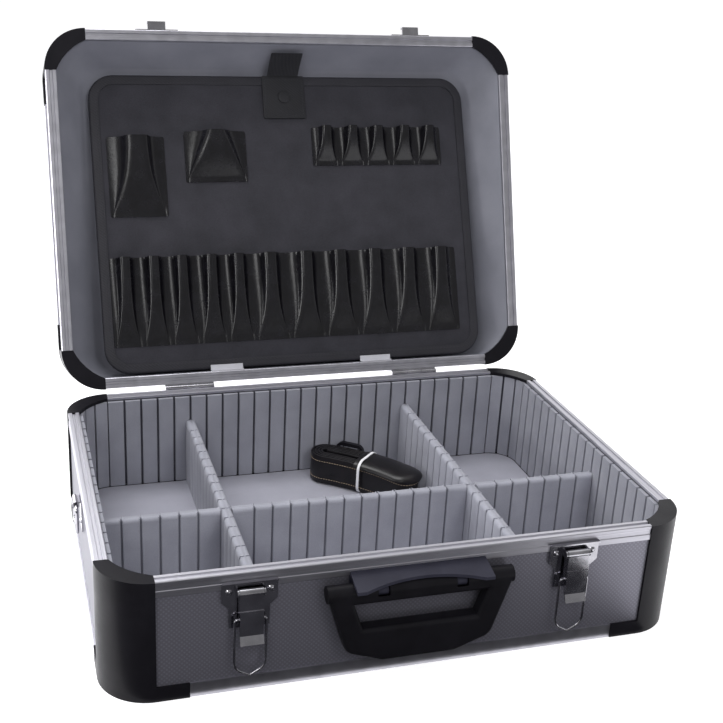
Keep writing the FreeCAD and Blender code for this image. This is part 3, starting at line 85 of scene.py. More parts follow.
def relief(tree, shader, height, distance, strength=1.0):
    """Bumps the surface by a height, whose full range is the distance in millimetres."""
    bump = add(tree, "Bump", {"Height": height, "Distance": distance * MM, "Strength": strength})
    tree.links.new(bump.outputs["Normal"], shader.inputs["Normal"])


def anodised_aluminium(name, stretch):
    """Soft brush lines, drawn long along the extrusion, and faint handling marks."""
    material, tree, shader, place = surface(name, Metallic=1.0, Roughness=0.4)
    lines = add(tree, "Mapping", {"Vector": place, "Scale": stretch})
    brushed = add(tree, "TexNoise", {"Vector": lines.outputs["Vector"], "Scale": 1.0, "Detail": 1.0})
    marks = add(tree, "TexNoise", {"Vector": place, "Scale": 14.0, "Detail": 5.0})
    tree.links.new(ramp(tree, brushed.outputs["Fac"], [(0.3, "#bab9c1"), (0.7, "#c9c8d0")]),
                   shader.inputs["Base Color"])
    rough = add(tree, "MapRange", {"Value": marks.outputs["Fac"], "To Min": 0.38, "To Max": 0.5})
    tree.links.new(rough.outputs["Result"], shader.inputs["Roughness"])
    return material


def finish_node(material, *names):
    """Gives CAD nodes their material."""
    for name in names:
        for held in nodes[name].material_slots:
            held.material = material


# Brush lines are drawn long along a rail and fine across it. A node whose rails run both ways has
# them even in all directions.
LONG, FINE, EVEN = 8, 900, 90
aluminium_across = anodised_aluminium("anodised_aluminium_across", (LONG, FINE, FINE))
aluminium_along = anodised_aluminium("anodised_aluminium_along", (FINE, LONG, FINE))
aluminium_mixed = anodised_aluminium("anodised_aluminium_mixed", (EVEN, EVEN, EVEN))
finish_node(aluminium_across, "base_rim_front", "base_rim_rear")
finish_node(aluminium_along, "base_rim_left", "base_rim_right")
finish_node(aluminium_mixed, "base_bottom_edges", "lid_rim_rails", "lid_top_edges")


# Wall boards: plywood covered with a thin aluminium sheet that is embossed with small diamonds.
# The sheet is clear lacquered, so it takes on the grey of what stands round it.

# The diamonds' spacing, and the angle in degrees at which the lid stands open.
DIAMOND_PITCH, LID_ANGLE = 2.5, 109


def embossed_sheet(name, turn):
    """A grid of diamonds, turned into the plane of the board, with painted shade in their hollows."""
    material, tree, shader, place = surface(name, Metallic=0.7, Roughness=0.4)
    lying = add(tree, "Mapping", {"Vector": place, "Rotation": turn})
    diagonal = add(tree, "Mapping", {"Vector": lying.outputs["Vector"], "Rotation": (0, 0, math.radians(45))})
    # A wave of scale 1 repeats every tau / 20.
    bands = math.tau / 20 / (DIAMOND_PITCH * MM)
    one = add(tree, "TexWave", {"Vector": diagonal.outputs["Vector"], "Scale": bands}, bands_direction="X")
    two = add(tree, "TexWave", {"Vector": diagonal.outputs["Vector"], "Scale": bands}, bands_direction="Y")
    both = add(tree, "Math", {0: one.outputs["Fac"], 1: two.outputs["Fac"]}, operation="MULTIPLY")
    cloud = add(tree, "TexNoise", {"Vector": place, "Scale": 9.0, "Detail": 3.0})
    # The hollows of the emboss are drawn darker and the raised tops lighter: painted shade and light.
    emboss_painted_shade_tint = add(tree, "Mix", {"Factor": both.outputs["Value"], "A": colour("#787781"), "B": colour("#8b8a95")},
               data_type="RGBA")
    tree.links.new(emboss_painted_shade_tint.outputs[2], shader.inputs["Base Color"])
    rough = add(tree, "MapRange", {"Value": cloud.outputs["Fac"], "To Min": 0.36, "To Max": 0.5})
    tree.links.new(rough.outputs["Result"], shader.inputs["Roughness"])
    relief(tree, shader, both.outputs["Value"], 0.08, 0.35)
    return material


sheet_front = embossed_sheet("embossed_sheet_front", (math.radians(-90), 0, 0))
sheet_side = embossed_sheet("embossed_sheet_side", (0, math.radians(90), 0))
sheet_lid_top = embossed_sheet("embossed_sheet_lid_top", (math.radians(LID_ANGLE), 0, 0))
sheet_lid_wall = embossed_sheet("embossed_sheet_lid_wall", (math.radians(LID_ANGLE - 90), 0, 0))
finish_node(sheet_front, "base_front_wall", "base_rear_wall")
finish_node(sheet_side, "base_left_wall", "base_right_wall", "lid_side_walls")
finish_node(sheet_lid_top, "lid_top_panel")
finish_node(sheet_lid_wall, "lid_front_wall", "lid_rear_wall")


# Corner posts, rim corners and the case's feet: moulded black ABS with a fine spark-eroded grain,
# rubbed smoother and a little paler where the case is set down and leant on.

def grained_skin(name, tone, worn, gloss, grain=0.5):
    """A dull skin with a grain in millimetres, paler and smoother in worn patches."""
    material, tree, shader, place = surface(name, Roughness=gloss, IOR=1.5, Specular_IOR_Level=0.16)
    fine = add(tree, "TexNoise", {"Vector": place, "Scale": 1 / (grain * MM), "Detail": 3.0})
    wide = add(tree, "TexNoise", {"Vector": place, "Scale": 22.0, "Detail": 6.0, "Roughness": 0.65})
    tree.links.new(ramp(tree, wide.outputs["Fac"], [(0.42, tone), (0.75, worn)]), shader.inputs["Base Color"])
    rough = add(tree, "MapRange", {"Value": wide.outputs["Fac"], "From Min": 0.3, "From Max": 0.7,
                                   "To Min": gloss + 0.08, "To Max": gloss - 0.06})
    tree.links.new(rough.outputs["Result"], shader.inputs["Roughness"])
    relief(tree, shader, fine.outputs["Fac"], 0.06, 0.5)
    return material


corner_abs = grained_skin("moulded_abs_corners", "#131217", "#1d1c21", 0.36)
finish_node(corner_abs, *[name for name in nodes if name.startswith("base_corner_")],
            "base_rim_corners", "lid_corners")
floor_sheet = grained_skin("pressed_fibre_floor", "#232327", "#2e2e33", 0.6, 1.2)
finish_node(floor_sheet, "base_floor_panel")


# Handle: a black nylon grip that hangs from a hood of grey-black nylon on a steel pin. Both are
# injection moulded with a satin grain, and so is the strap's acetal hook. The two clips at the tool
# board's foot are bent from pale grey sheet.

grip_nylon = grained_skin("moulded_nylon_grip", "#100f13", "#19181d", 0.42, 0.6)
hood_nylon = grained_skin("moulded_nylon_hood", "#2a2a35", "#353541", 0.4, 0.6)
finish_node(grip_nylon, "handle_grip")
finish_node(hood_nylon, "handle_mount")
hook_acetal = grained_skin("moulded_acetal_hook", "#16151a", "#242328", 0.3, 0.6)
finish_node(hook_acetal, "strap_hook")
clip_sheet = grained_skin("bent_clip_sheet", "#b9b9c0", "#c6c6cd", 0.5, 0.8)
finish_node(clip_sheet, "board_clips")


# Latches, hinges, rings, pins and rivets: pressed steel with a bright nickel plate, which mirrors
# what stands round it and is a little hazy where hands have rubbed it.

def nickel_plate(name):
    """Bright plate on metal that waves slightly, with hazy patches."""
    material, tree, shader, place = surface(name, Metallic=1.0, Roughness=0.14)
    haze = add(tree, "TexNoise", {"Vector": place, "Scale": 60.0, "Detail": 4.0})
    wave = add(tree, "TexNoise", {"Vector": place, "Scale": 220.0, "Detail": 1.0})
    tree.links.new(ramp(tree, haze.outputs["Fac"], [(0.35, "#a9a8ae"), (0.7, "#c6c5cb")]),
                   shader.inputs["Base Color"])
    rough = add(tree, "MapRange", {"Value": haze.outputs["Fac"], "To Min": 0.08, "To Max": 0.2})
    tree.links.new(rough.outputs["Result"], shader.inputs["Roughness"])
    relief(tree, shader, wave.outputs["Fac"], 0.1, 0.35)
    return material


nickel = nickel_plate("nickel_plated_steel")
finish_node(nickel, "latch_plate_left", "latch_plate_right", "latch_lever_left", "latch_lever_right",
            "latch_bail_left", "latch_bail_right", "latch_pins", "latch_catches", "handle_pin",
            "hinge_base_leaves", "hinge_lid_leaves", "hinge_pins", "strap_brackets", "strap_ring_left",
            "strap_ring_right", "base_rivets", "lid_rivets")


# Foam lining: a soft grey EVA strip round the walls, cut with a slot every 15.2 mm so that the
# dividers can stand anywhere. It is a backing with separate lands. The backing is drawn darker than
# the lands, as painted shade deep in the slots, so the slots show as dark lines.

def cube(name, low, high):
    """A cube between two corners given in millimetres, alone in the selection."""
    bpy.ops.object.select_all(action="DESELECT")
    low, high = Vector(low) * MM, Vector(high) * MM
    bpy.ops.mesh.primitive_cube_add(size=1, location=(low + high) / 2)
    piece = bpy.context.object
    piece.name = name
    piece.scale = high - low
    bpy.ops.object.transform_apply(location=True, rotation=True, scale=True)
    return piece


def edit(piece, kind, test):
    """Edit mode on a piece, with what the test picks selected by its middle and its way.

    The way is a face's normal or an edge's direction, and lengths are in millimetres.
    """
    bpy.ops.object.select_all(action="DESELECT")
    piece.select_set(True)
    bpy.context.view_layer.objects.active = piece
    bpy.context.tool_settings.mesh_select_mode = [kind == k for k in ("VERT", "EDGE", "FACE")]
    bpy.ops.object.mode_set(mode="EDIT")
    bpy.ops.mesh.select_all(action="DESELECT")
    bpy.ops.object.mode_set(mode="OBJECT")
    mesh = piece.data
    for item in {"VERT": mesh.vertices, "EDGE": mesh.edges, "FACE": mesh.polygons}[kind]:
        if kind == "VERT":
            middle, way = item.co, item.normal
        else:
            corners = [mesh.vertices[i].co for i in item.vertices]
            middle = sum(corners, Vector()) / len(corners)
            way = item.normal if kind == "FACE" else (corners[1] - corners[0]).normalized()
        item.select = bool(test(middle / MM, way))
    bpy.ops.object.mode_set(mode="EDIT")


def leave():
    """Back to object mode."""
    bpy.ops.object.mode_set(mode="OBJECT")


# Tests for what to pick. NEAR is how close to a place, in millimetres, counts as being there.
NEAR = 0.1


def everything(middle, way):
    return True


def upright(middle, way):
    return abs(way.z) > 0.9


def face_out(piece, inside=False):
    """Turns all faces outwards, or towards the inside."""
    edit(piece, "FACE", everything)
    bpy.ops.mesh.normals_make_consistent(inside=inside)
    leave()


def extrude(*step):
    """Extrudes what is selected in edit mode by a step in millimetres."""
    bpy.ops.mesh.extrude_region_move(TRANSFORM_OT_translate={"value": [length * MM for length in step]})


def bevel(piece, width, segments, test, kind="EDGE"):
    """Rounds the edges, or in a flat outline the corners, that the test picks."""
    edit(piece, kind, test)
    bpy.ops.mesh.bevel(offset=width * MM, segments=segments, profile=0.5,
                       affect="EDGES" if kind == "EDGE" else "VERTICES")
    leave()


def modify(piece, kind, **settings):
    """Adds a modifier and applies it."""
    bpy.context.view_layer.objects.active = piece
    modifier = piece.modifiers.new(kind, kind)
    for name, value in settings.items():
        setattr(modifier, name, value)
    bpy.ops.object.modifier_apply(modifier=modifier.name)
    return piece


def repeat(piece, count, step):
    """A row of copies, a step in millimetres apart."""
    return modify(piece, "ARRAY", count=count, use_relative_offset=False, use_constant_offset=True,
                  constant_offset_displace=Vector(step) * MM)


def join(name, pieces):
    """Makes several pieces one, which takes the name."""
    bpy.ops.object.select_all(action="DESELECT")
    for piece in pieces:
        piece.select_set(True)
    bpy.context.view_layer.objects.active = pieces[0]
    if len(pieces) > 1:
        bpy.ops.object.join()
    pieces[0].name = name
    return pieces[0]


def fit(piece, body, slot, material, *stands_for, angle=35, matrix=None):
    """Puts a finished piece in its place, gives it its material, and ties it to its body."""
    if matrix is not None:
        piece.data.transform(matrix)
    bpy.ops.object.select_all(action="DESELECT")
    piece.select_set(True)
    bpy.context.view_layer.objects.active = piece
    bpy.ops.object.shade_smooth_by_angle(angle=math.radians(angle))
    piece.data.materials.clear()
    piece.data.materials.append(material)
    if stands_for:
        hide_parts(*stands_for)
    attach(piece, body)
    return piece


def turn_z(degrees, x=0.0, y=0.0, z=0.0):
    """A turn about Z, and then a shift to a place in millimetres."""
    return Matrix.Translation(Vector((x, y, z)) * MM) @ Matrix.Rotation(math.radians(degrees), 4, "Z")


def eva_foam(name, dark, light):
    """Closed-cell foam with a dry skin: pores 0.7 mm wide and a faint unevenness over 30 mm."""
    material, tree, shader, place = surface(name, Roughness=0.82, IOR=1.45)
    pores = add(tree, "TexNoise", {"Vector": place, "Scale": 1400.0, "Detail": 2.0})
    cloud = add(tree, "TexNoise", {"Vector": place, "Scale": 32.0, "Detail": 4.0})
    both = add(tree, "Mix", {"Factor": 0.35, "A": cloud.outputs["Fac"], "B": pores.outputs["Fac"]})
    tree.links.new(ramp(tree, both.outputs[0], [(0.3, dark), (0.7, light)]), shader.inputs["Base Color"])
    shader.inputs["Sheen Weight"].default_value = 0.15
    relief(tree, shader, pores.outputs["Fac"], 0.12, 0.5)
    return material


# The wall lands are drawn a little darker than the dividers: painted shade on the upright walls.
wall_lining_painted_shade_foam = eva_foam("eva_foam_walls_painted_shade", "#868791", "#9899a3")
PITCH, SLOT = 15.2, 2.0
# The lining's face on the side walls and on the long walls, its foot and head, and the slots' depth.
WALL_X, WALL_Y, WALL_LOW, WALL_HIGH, LAND_DEEP = 213.8, 151.3, 8.2, 93.6, 3.0
# The face's corner radius and centres, and how far the slots reach from the middle of a straight wall.
CORNER, CENTRE_X, CENTRE_Y = 24.3, 189.5, 127
REACH_X, REACH_Y = 11.5 * PITCH, 7.5 * PITCH
# A corner has three lands, each 30 degrees wide less half a slot at either side.
CORNER_LANDS, CORNER_STEPS = 3, 5
LAND_TURN, HALF_SLOT_TURN = 90 / CORNER_LANDS, math.degrees(SLOT / 2 / CORNER)
# A land's rounding, the sliver that a corner land is spun from, and the backing's thickness.
LAND_ROUND, START_THICK, BACKING_THICK = 0.5, 0.01, 7.9
# The floor pad's room to the walls, its underside and top, and its rounded edge.
PAD_GAP, PAD_LOW, PAD_HIGH, PAD_ROUND = 0.2, 5, 8, 0.8


def wall_land(low, high):
    """A land with its slot edges a little rounded, standing on the wall that faces +Y."""
    land = cube("land", (low, 0, WALL_LOW), (high, LAND_DEEP, WALL_HIGH))
    bevel(land, LAND_ROUND, 2, lambda middle, way: upright(middle, way) and middle.y < NEAR)
    return land


def wall_row(reach, end, matrix):
    """The lands of one straight wall: slots as far as the reach, and a wider land at each end."""
    count = int(round(2 * reach / PITCH))
    row = wall_land(-reach + SLOT / 2, -reach + PITCH - SLOT / 2)
    repeat(row, count, (PITCH, 0, 0))
    ends = [wall_land(reach + SLOT / 2, end), wall_land(-end, -reach - SLOT / 2)]
    lands = join("wall_row", [row] + ends)
    lands.data.transform(matrix)
    return lands


rows = [wall_row(REACH_X, CENTRE_X, turn_z(0, 0, WALL_Y)),
        wall_row(REACH_X, CENTRE_X, turn_z(180, 0, -WALL_Y)),
        wall_row(REACH_Y, CENTRE_Y, turn_z(-90, WALL_X)),
        wall_row(REACH_Y, CENTRE_Y, turn_z(90, -WALL_X))]
for corner_turn, x, y in ((0, CENTRE_X, CENTRE_Y), (90, -CENTRE_X, CENTRE_Y),
                          (180, -CENTRE_X, -CENTRE_Y), (270, CENTRE_X, -CENTRE_Y)):
    for third in range(CORNER_LANDS):
        start, sweep = LAND_TURN * third + HALF_SLOT_TURN, LAND_TURN - 2 * HALF_SLOT_TURN
        land = cube("corner_land", (CORNER, -START_THICK, WALL_LOW), (CORNER + LAND_DEEP, 0, WALL_HIGH))
        edit(land, "FACE", lambda middle, way: way.y < -0.9)
        bpy.ops.mesh.select_all(action="INVERT")
        bpy.ops.mesh.delete(type="FACE")
        leave()
        edit(land, "FACE", everything)
        bpy.ops.mesh.spin(steps=CORNER_STEPS, angle=-math.radians(sweep), center=(0, 0, 0), axis=(0, 0, 1))
        leave()
        land.data.transform(turn_z(corner_turn, x, y) @ turn_z(start))
        rows.append(land)

backing = cube("foam_wall_backing", (-WALL_X - LAND_DEEP, -WALL_Y - LAND_DEEP, WALL_LOW),
               (WALL_X + LAND_DEEP, WALL_Y + LAND_DEEP, WALL_HIGH))
bevel(backing, CORNER + LAND_DEEP, 8, upright)
edit(backing, "FACE", upright)
bpy.ops.mesh.delete(type="ONLY_FACE")
leave()
modify(backing, "SOLIDIFY", thickness=BACKING_THICK * MM, offset=1)
# The backing is the lands' own foam, drawn darker: painted shade in the slots.
slot_painted_shade_foam = eva_foam("eva_foam_slot_painted_shade", "#3f3f48", "#4c4c56")
fit(backing, "base", "foam", slot_painted_shade_foam, angle=30)
foam_wall = join("foam_wall_lining", rows)
face_out(foam_wall)
fit(foam_wall, "base", "foam", wall_lining_painted_shade_foam, "wall_foam", angle=30)

floor_pad = cube("foam_floor_pad", (-WALL_X + PAD_GAP, -WALL_Y + PAD_GAP, PAD_LOW),
                 (WALL_X - PAD_GAP, WALL_Y - PAD_GAP, PAD_HIGH))
bevel(floor_pad, CORNER - PAD_GAP, 8, upright)
bevel(floor_pad, PAD_ROUND, 2, lambda middle, way: middle.z > PAD_HIGH - NEAR)
# The floor pad is the same foam, drawn lighter: painted light on the floor that faces the lamps.
floor_pad_painted_light_foam = eva_foam("eva_foam_floor_painted_light", "#9a9aa6", "#a9a9b5")
fit(floor_pad, "base", "foam", floor_pad_painted_light_foam, "floor_foam")


# Dividers: five loose foam walls. Each is a core with pillowed lands on both faces, whose heads are
# rounded over by the press that cuts the slots, and a thin tongue at each end. The core is drawn
# darker than the lands, as painted shade in the slots.

DIVIDER_LOW, DIVIDER_HIGH, DIVIDER_THICK = 8.3, 70.0, 9.0
DIVIDER_SLOT, HEAD_ROUND, SIDE_ROUND, HEAD_SOFT = 1.5, 3.4, 0.6, 0.5
# The tongue's half thickness and rounding, and how far it stands into a wall or a long divider.
TONGUE_HALF, TONGUE_ROUND, WALL_TONGUE, CROSS_TONGUE = 0.7, 0.6, 2.9, 1.4
# The core behind the slots: how far it stays back from the faces, the ends and the head.
WEB_BACK, WEB_END, WEB_DROP, WEB_ROUND = 1.6, 1, 0.45, 2.4
divider_foam = eva_foam("eva_foam_dividers", "#8f909b", "#a5a6b1")
# The core is the lands' own foam, drawn darker: painted shade in the divider slots.
divider_slot_painted_shade_foam = eva_foam("eva_foam_divider_slot_painted_shade", "#5d5e68", "#6b6c76")


def divider_land(low, high):
    """One land of the full thickness with a domed head."""
    half = DIVIDER_THICK / 2
    land = cube("divider_land", (low, -half, DIVIDER_LOW), (high, half, DIVIDER_HIGH))
    bevel(land, SIDE_ROUND, 2, upright)
    bevel(land, HEAD_ROUND, 5, lambda middle, way: middle.z > DIVIDER_HIGH - NEAR and abs(way.x) > 0.9)
    head = DIVIDER_HIGH - HEAD_ROUND - NEAR
    bevel(land, HEAD_SOFT, 2, lambda middle, way: middle.z > head and abs(way.x) < 0.2)
    return land


def foam_divider(name, start, end, first, count, tongues, matrix):
    """A divider along X between two ends, with slots from the first one, a pitch apart.

    The tongues are the lengths that stand out at its two ends.
    """
    last = first + (count - 1) * PITCH
    row = divider_land(first + DIVIDER_SLOT / 2, first + PITCH - DIVIDER_SLOT / 2)
    repeat(row, count - 1, (PITCH, 0, 0))
    ends = [divider_land(start, first - DIVIDER_SLOT / 2), divider_land(last + DIVIDER_SLOT / 2, end)]
    tongue = cube("divider_tongue", (start - tongues[0], -TONGUE_HALF, DIVIDER_LOW),
                  (end + tongues[1], TONGUE_HALF, DIVIDER_HIGH))
    bevel(tongue, TONGUE_ROUND, 2, lambda middle, way: middle.z > DIVIDER_HIGH - NEAR)
    half = DIVIDER_THICK / 2 - WEB_BACK
    web = cube("divider_web", (start + WEB_END, -half, DIVIDER_LOW),
               (end - WEB_END, half, DIVIDER_HIGH - WEB_DROP))
    head = DIVIDER_HIGH - WEB_DROP - NEAR
    bevel(web, WEB_ROUND, 4, lambda middle, way: middle.z > head and abs(way.x) > 0.9)
    body = name[len("foam_"):]
    web.name = name + "_web"
    fit(web, body, "foam", divider_slot_painted_shade_foam, matrix=matrix)
    return fit(join(name, [row, tongue] + ends), body, "foam", divider_foam, body, matrix=matrix)


# Where the long dividers stand, and the ends of those that reach the walls. A cross divider starts
# BESIDE the middle of a long one, with 0.3 mm between them.
LEFT_X, RIGHT_X, CROSS_Y = -7.5 * PITCH, 6.5 * PITCH, -1.5 * PITCH
LONG_END, CROSS_END, BESIDE = 151, 213.5, DIVIDER_THICK / 2 + 0.3
for side, x in (("left", LEFT_X), ("right", RIGHT_X)):
    foam_divider(f"foam_divider_{side}", -LONG_END, LONG_END, first=-8.5 * PITCH, count=18,
                 tongues=(WALL_TONGUE, WALL_TONGUE), matrix=turn_z(90, x))
across = turn_z(0, 0, CROSS_Y)
foam_divider("foam_cross_divider_left", -CROSS_END, LEFT_X - BESIDE, first=-13 * PITCH, count=5,
             tongues=(WALL_TONGUE, CROSS_TONGUE), matrix=across)
foam_divider("foam_cross_divider_middle", LEFT_X + BESIDE, RIGHT_X - BESIDE, first=-6 * PITCH, count=12,
             tongues=(CROSS_TONGUE, CROSS_TONGUE), matrix=across)
foam_divider("foam_cross_divider_right", RIGHT_X + BESIDE, CROSS_END, first=8 * PITCH, count=6,
             tongues=(CROSS_TONGUE, WALL_TONGUE), matrix=across)


# Lid lining: one sheet of thin grey foam-backed board, folded into a shallow tray whose walls slope
# out to the rim, with soft creases at its floor and corners.

# The tray is made in the shut lid, from the outline of its floor down to its mouth at the rim, and
# LID_OPEN then turns it about the hinge.
HINGE = Vector((0, 167.5, 97.2)) * MM
LID_OPEN = (Matrix.Translation(HINGE) @ Matrix.Rotation(math.radians(-LID_ANGLE), 4, "X")
            @ Matrix.Translation(-HINGE))
LID_FLOOR, TRAY_DEPTH, TRAY_WALL, TRAY_LIP, TRAY_THICK = 97.4, 42, 38.7, 0.1, 2.2
TRAY_HALF, TRAY_FRONT, TRAY_BACK, TRAY_CORNER, TRAY_CREASE = 190, -134.5, 154.5, 25, 7
# How far the mouth and the lip round it reach: half the width, and the whole length.
MOUTH_HALF, MOUTH_LONG, LIP_HALF, LIP_LONG = 216.9, 308.9, 222.5, 314


def flat_outline(name, low, high, z, radius, segments=8):
    """A flat face between two corners with its four corners rounded."""
    bpy.ops.object.select_all(action="DESELECT")
    middle = ((low[0] + high[0]) / 2 * MM, (low[1] + high[1]) / 2 * MM, z * MM)
    bpy.ops.mesh.primitive_plane_add(size=1, location=middle)
    piece = bpy.context.object
    piece.name = name
    piece.scale = ((high[0] - low[0]) * MM, (high[1] - low[1]) * MM, 1)
    bpy.ops.object.transform_apply(location=True, rotation=True, scale=True)
    bevel(piece, radius, segments, everything, "VERT")
    return piece


def lining_cloth(name):
    """A smooth grey skin that is faintly mottled over 40 mm, with a satin sheen."""
    material, tree, shader, place = surface(name, Roughness=0.55, IOR=1.46)
    cloud = add(tree, "TexNoise", {"Vector": place, "Scale": 24.0, "Detail": 5.0})
    grain = add(tree, "TexNoise", {"Vector": place, "Scale": 900.0, "Detail": 2.0})
    tree.links.new(ramp(tree, cloud.outputs["Fac"], [(0.3, "#74757f"), (0.7, "#82838d")]),
                   shader.inputs["Base Color"])
    relief(tree, shader, grain.outputs["Fac"], 0.08, 0.4)
    return material


tray = flat_outline("lid_tray_lining", (-TRAY_HALF, TRAY_FRONT), (TRAY_HALF, TRAY_BACK),
                    LID_FLOOR + TRAY_DEPTH, TRAY_CORNER)
edit(tray, "FACE", everything)
extrude(0, 0, -TRAY_WALL)
bpy.ops.transform.resize(value=(MOUTH_HALF / TRAY_HALF, MOUTH_LONG / (TRAY_BACK - TRAY_FRONT), 1),
                         center_override=(0, TRAY_BACK * MM, 0))
bpy.ops.mesh.delete(type="FACE")
leave()
edit(tray, "EDGE", lambda middle, way: middle.z < LID_FLOOR + TRAY_DEPTH - TRAY_WALL + NEAR)
extrude(0, 0, TRAY_LIP)
bpy.ops.transform.resize(value=(LIP_HALF / MOUTH_HALF, LIP_LONG / MOUTH_LONG, 1), center_override=(0, 0, 0))
leave()
face_out(tray, inside=True)
bevel(tray, TRAY_CREASE, 4,
      lambda middle, way: middle.z > LID_FLOOR + TRAY_DEPTH - NEAR and abs(way.z) < 0.1)
modify(tray, "SOLIDIFY", thickness=TRAY_THICK * MM, offset=-1)
fit(tray, "lid", "lining", lining_cloth("lid_lining_board"), "lid_lining", matrix=LID_OPEN)


# Tool board: a stiff board covered on its face with short charcoal pile, held in a sewn binding.
# It leans in the lid, with its foot behind two clips.

# On the board, X is to the right, Y up the board and Z out of its face.
BOARD_FOOT, BOARD_LEAN = (0, 152.5, 106.4), 85
BOARD = (LID_OPEN @ Matrix.Translation(Vector(BOARD_FOOT) * MM)
         @ Matrix.Rotation(math.radians(BOARD_LEAN), 4, "X") @ Matrix.Rotation(math.radians(90), 4, "X"))
# The board with its binding, and how far the panel stays back from that edge.
BOARD_HALF, BOARD_LONG, BOARD_THICK, BOARD_ROUND, PANEL_BACK = 188, 283, 4, 24, 1


def charcoal_pile(name):
    """Brushed knit with a pile 0.8 mm long, which catches light in soft patches 25 mm wide."""
    material, tree, shader, place = surface(name, Roughness=0.95)
    hairs = add(tree, "TexNoise", {"Vector": place, "Scale": 1200.0, "Detail": 3.0})
    patch = add(tree, "TexNoise", {"Vector": place, "Scale": 40.0, "Detail": 4.0})
    both = add(tree, "Mix", {"Factor": 0.5, "A": patch.outputs["Fac"], "B": hairs.outputs["Fac"]})
    tree.links.new(ramp(tree, both.outputs[0], [(0.32, "#29292e"), (0.7, "#3c3b42")]),
                   shader.inputs["Base Color"])
    shader.inputs["Sheen Weight"].default_value = 0.35
    shader.inputs["Sheen Tint"].default_value = colour("#6c6c78")
    relief(tree, shader, both.outputs[0], 0.3, 0.5)
    return material


def slab(name, low, high, back, front, radius, soft):
    """A rounded board between two depths, with its face's edge softened."""
    piece = flat_outline(name, low, high, back, radius)
    edit(piece, "FACE", everything)
    extrude(0, 0, front - back)
    leave()
    face_out(piece)
    bevel(piece, soft, 2, lambda middle, way: abs(way.z) < 0.1 and middle.z > front - NEAR)
    return piece


pile = charcoal_pile("brushed_charcoal_knit")
panel = slab("tool_board_panel", (PANEL_BACK - BOARD_HALF, PANEL_BACK),
             (BOARD_HALF - PANEL_BACK, BOARD_LONG - PANEL_BACK), back=-BOARD_THICK, front=0,
             radius=BOARD_ROUND - PANEL_BACK, soft=0.4)
fit(panel, "tool_board", "board_cloth", pile, "tool_board", matrix=BOARD)


# Binding: black woven tape folded over the board's edge and sewn 7 mm in, with stitches 3 mm long
# in thread of the same colour. It is 9 mm wide and stands 1 mm out from the board's face and its back.

BINDING_WIDE, BINDING_OUT, BINDING_ROUND, SEAM_IN, SEAM_OUT = 9, 1, 2.2, 7, 1.05


def tape_cloth(name, tone, light):
    """Herringbone tape with ribs 0.9 mm apart."""
    material, tree, shader, place = surface(name, Roughness=0.6)
    ribs = add(tree, "TexWave", {"Vector": place, "Scale": 180.0, "Distortion": 1.5, "Detail": 2.0},
               bands_direction="DIAGONAL")
    cloud = add(tree, "TexNoise", {"Vector": place, "Scale": 50.0, "Detail": 3.0})
    both = add(tree, "Mix", {"Factor": 0.4, "A": cloud.outputs["Fac"], "B": ribs.outputs["Fac"]})
    tree.links.new(ramp(tree, both.outputs[0], [(0.2, tone), (0.8, light)]), shader.inputs["Base Color"])
    relief(tree, shader, ribs.outputs["Fac"], 0.2, 0.5)
    return material


binding = flat_outline("board_edge_binding", (-BOARD_HALF, 0), (BOARD_HALF, BOARD_LONG),
                       BINDING_OUT, BOARD_ROUND)
edit(binding, "FACE", everything)
bpy.ops.mesh.inset(thickness=BINDING_WIDE * MM)
bpy.ops.mesh.delete(type="FACE")
leave()
edit(binding, "FACE", everything)
extrude(0, 0, -BOARD_THICK - 2 * BINDING_OUT)
leave()
face_out(binding)


def on_outside(middle):
    """Whether a point of the binding lies on its outer edge, and not on its inner one."""
    past_x = abs(middle.x) - (BOARD_HALF - BOARD_ROUND)
    past_y = abs(middle.y - BOARD_LONG / 2) - (BOARD_LONG / 2 - BOARD_ROUND)
    between = BOARD_ROUND - BINDING_WIDE / 2
    if past_x > 0 and past_y > 0:
        return math.hypot(past_x, past_y) > between
    return past_x > between or past_y > between


bevel(binding, BINDING_ROUND, 3, lambda middle, way: abs(way.z) < 0.1 and on_outside(middle))
fit(binding, "tool_board", "vinyl", tape_cloth("woven_edge_tape", "#212126", "#2f2e35"), "board_binding",
    matrix=BOARD)


def thread(name, tone):
    """Twisted thread, which shows a dark and a light tone."""
    material, tree, shader, place = surface(name, Roughness=0.6)
    twist = add(tree, "TexWave", {"Vector": place, "Scale": 500.0}, bands_direction="DIAGONAL")
    tree.links.new(ramp(tree, twist.outputs["Fac"], [(0.0, tone[0]), (1.0, tone[1])]),
                   shader.inputs["Base Color"])
    return material


def curve_path(name, points, closed):
    """A line through points in millimetres."""
    data = bpy.data.curves.new(name, "CURVE")
    data.dimensions = "3D"
    spline = data.splines.new("POLY")
    spline.points.add(len(points) - 1)
    for held, point in zip(spline.points, points):
        held.co = (*(Vector(point) * MM), 1)
    spline.use_cyclic_u = closed
    path = bpy.data.objects.new(name, data)
    bpy.context.scene.collection.objects.link(path)
    return path


def stitches(name, points, closed, pitch, length, thick):
    """A row of sunk stitches a pitch apart along a line, each a short low ball of thread."""
    bpy.ops.object.select_all(action="DESELECT")
    bpy.ops.mesh.primitive_uv_sphere_add(segments=6, ring_count=4, radius=0.5)
    stitch = bpy.context.object
    stitch.data.transform(Matrix.Diagonal((length * MM, thick * MM, thick * MM, 1)))
    stitch.data.transform(Matrix.Translation((pitch / 2 * MM, 0, 0)))
    path = curve_path("stitch_path", points, closed)
    modify(stitch, "ARRAY", fit_type="FIT_CURVE", curve=path, use_relative_offset=False,
           use_constant_offset=True, constant_offset_displace=(pitch * MM, 0, 0))
    modify(stitch, "CURVE", object=path)
    bpy.data.objects.remove(path)
    stitch.name = name
    return stitch


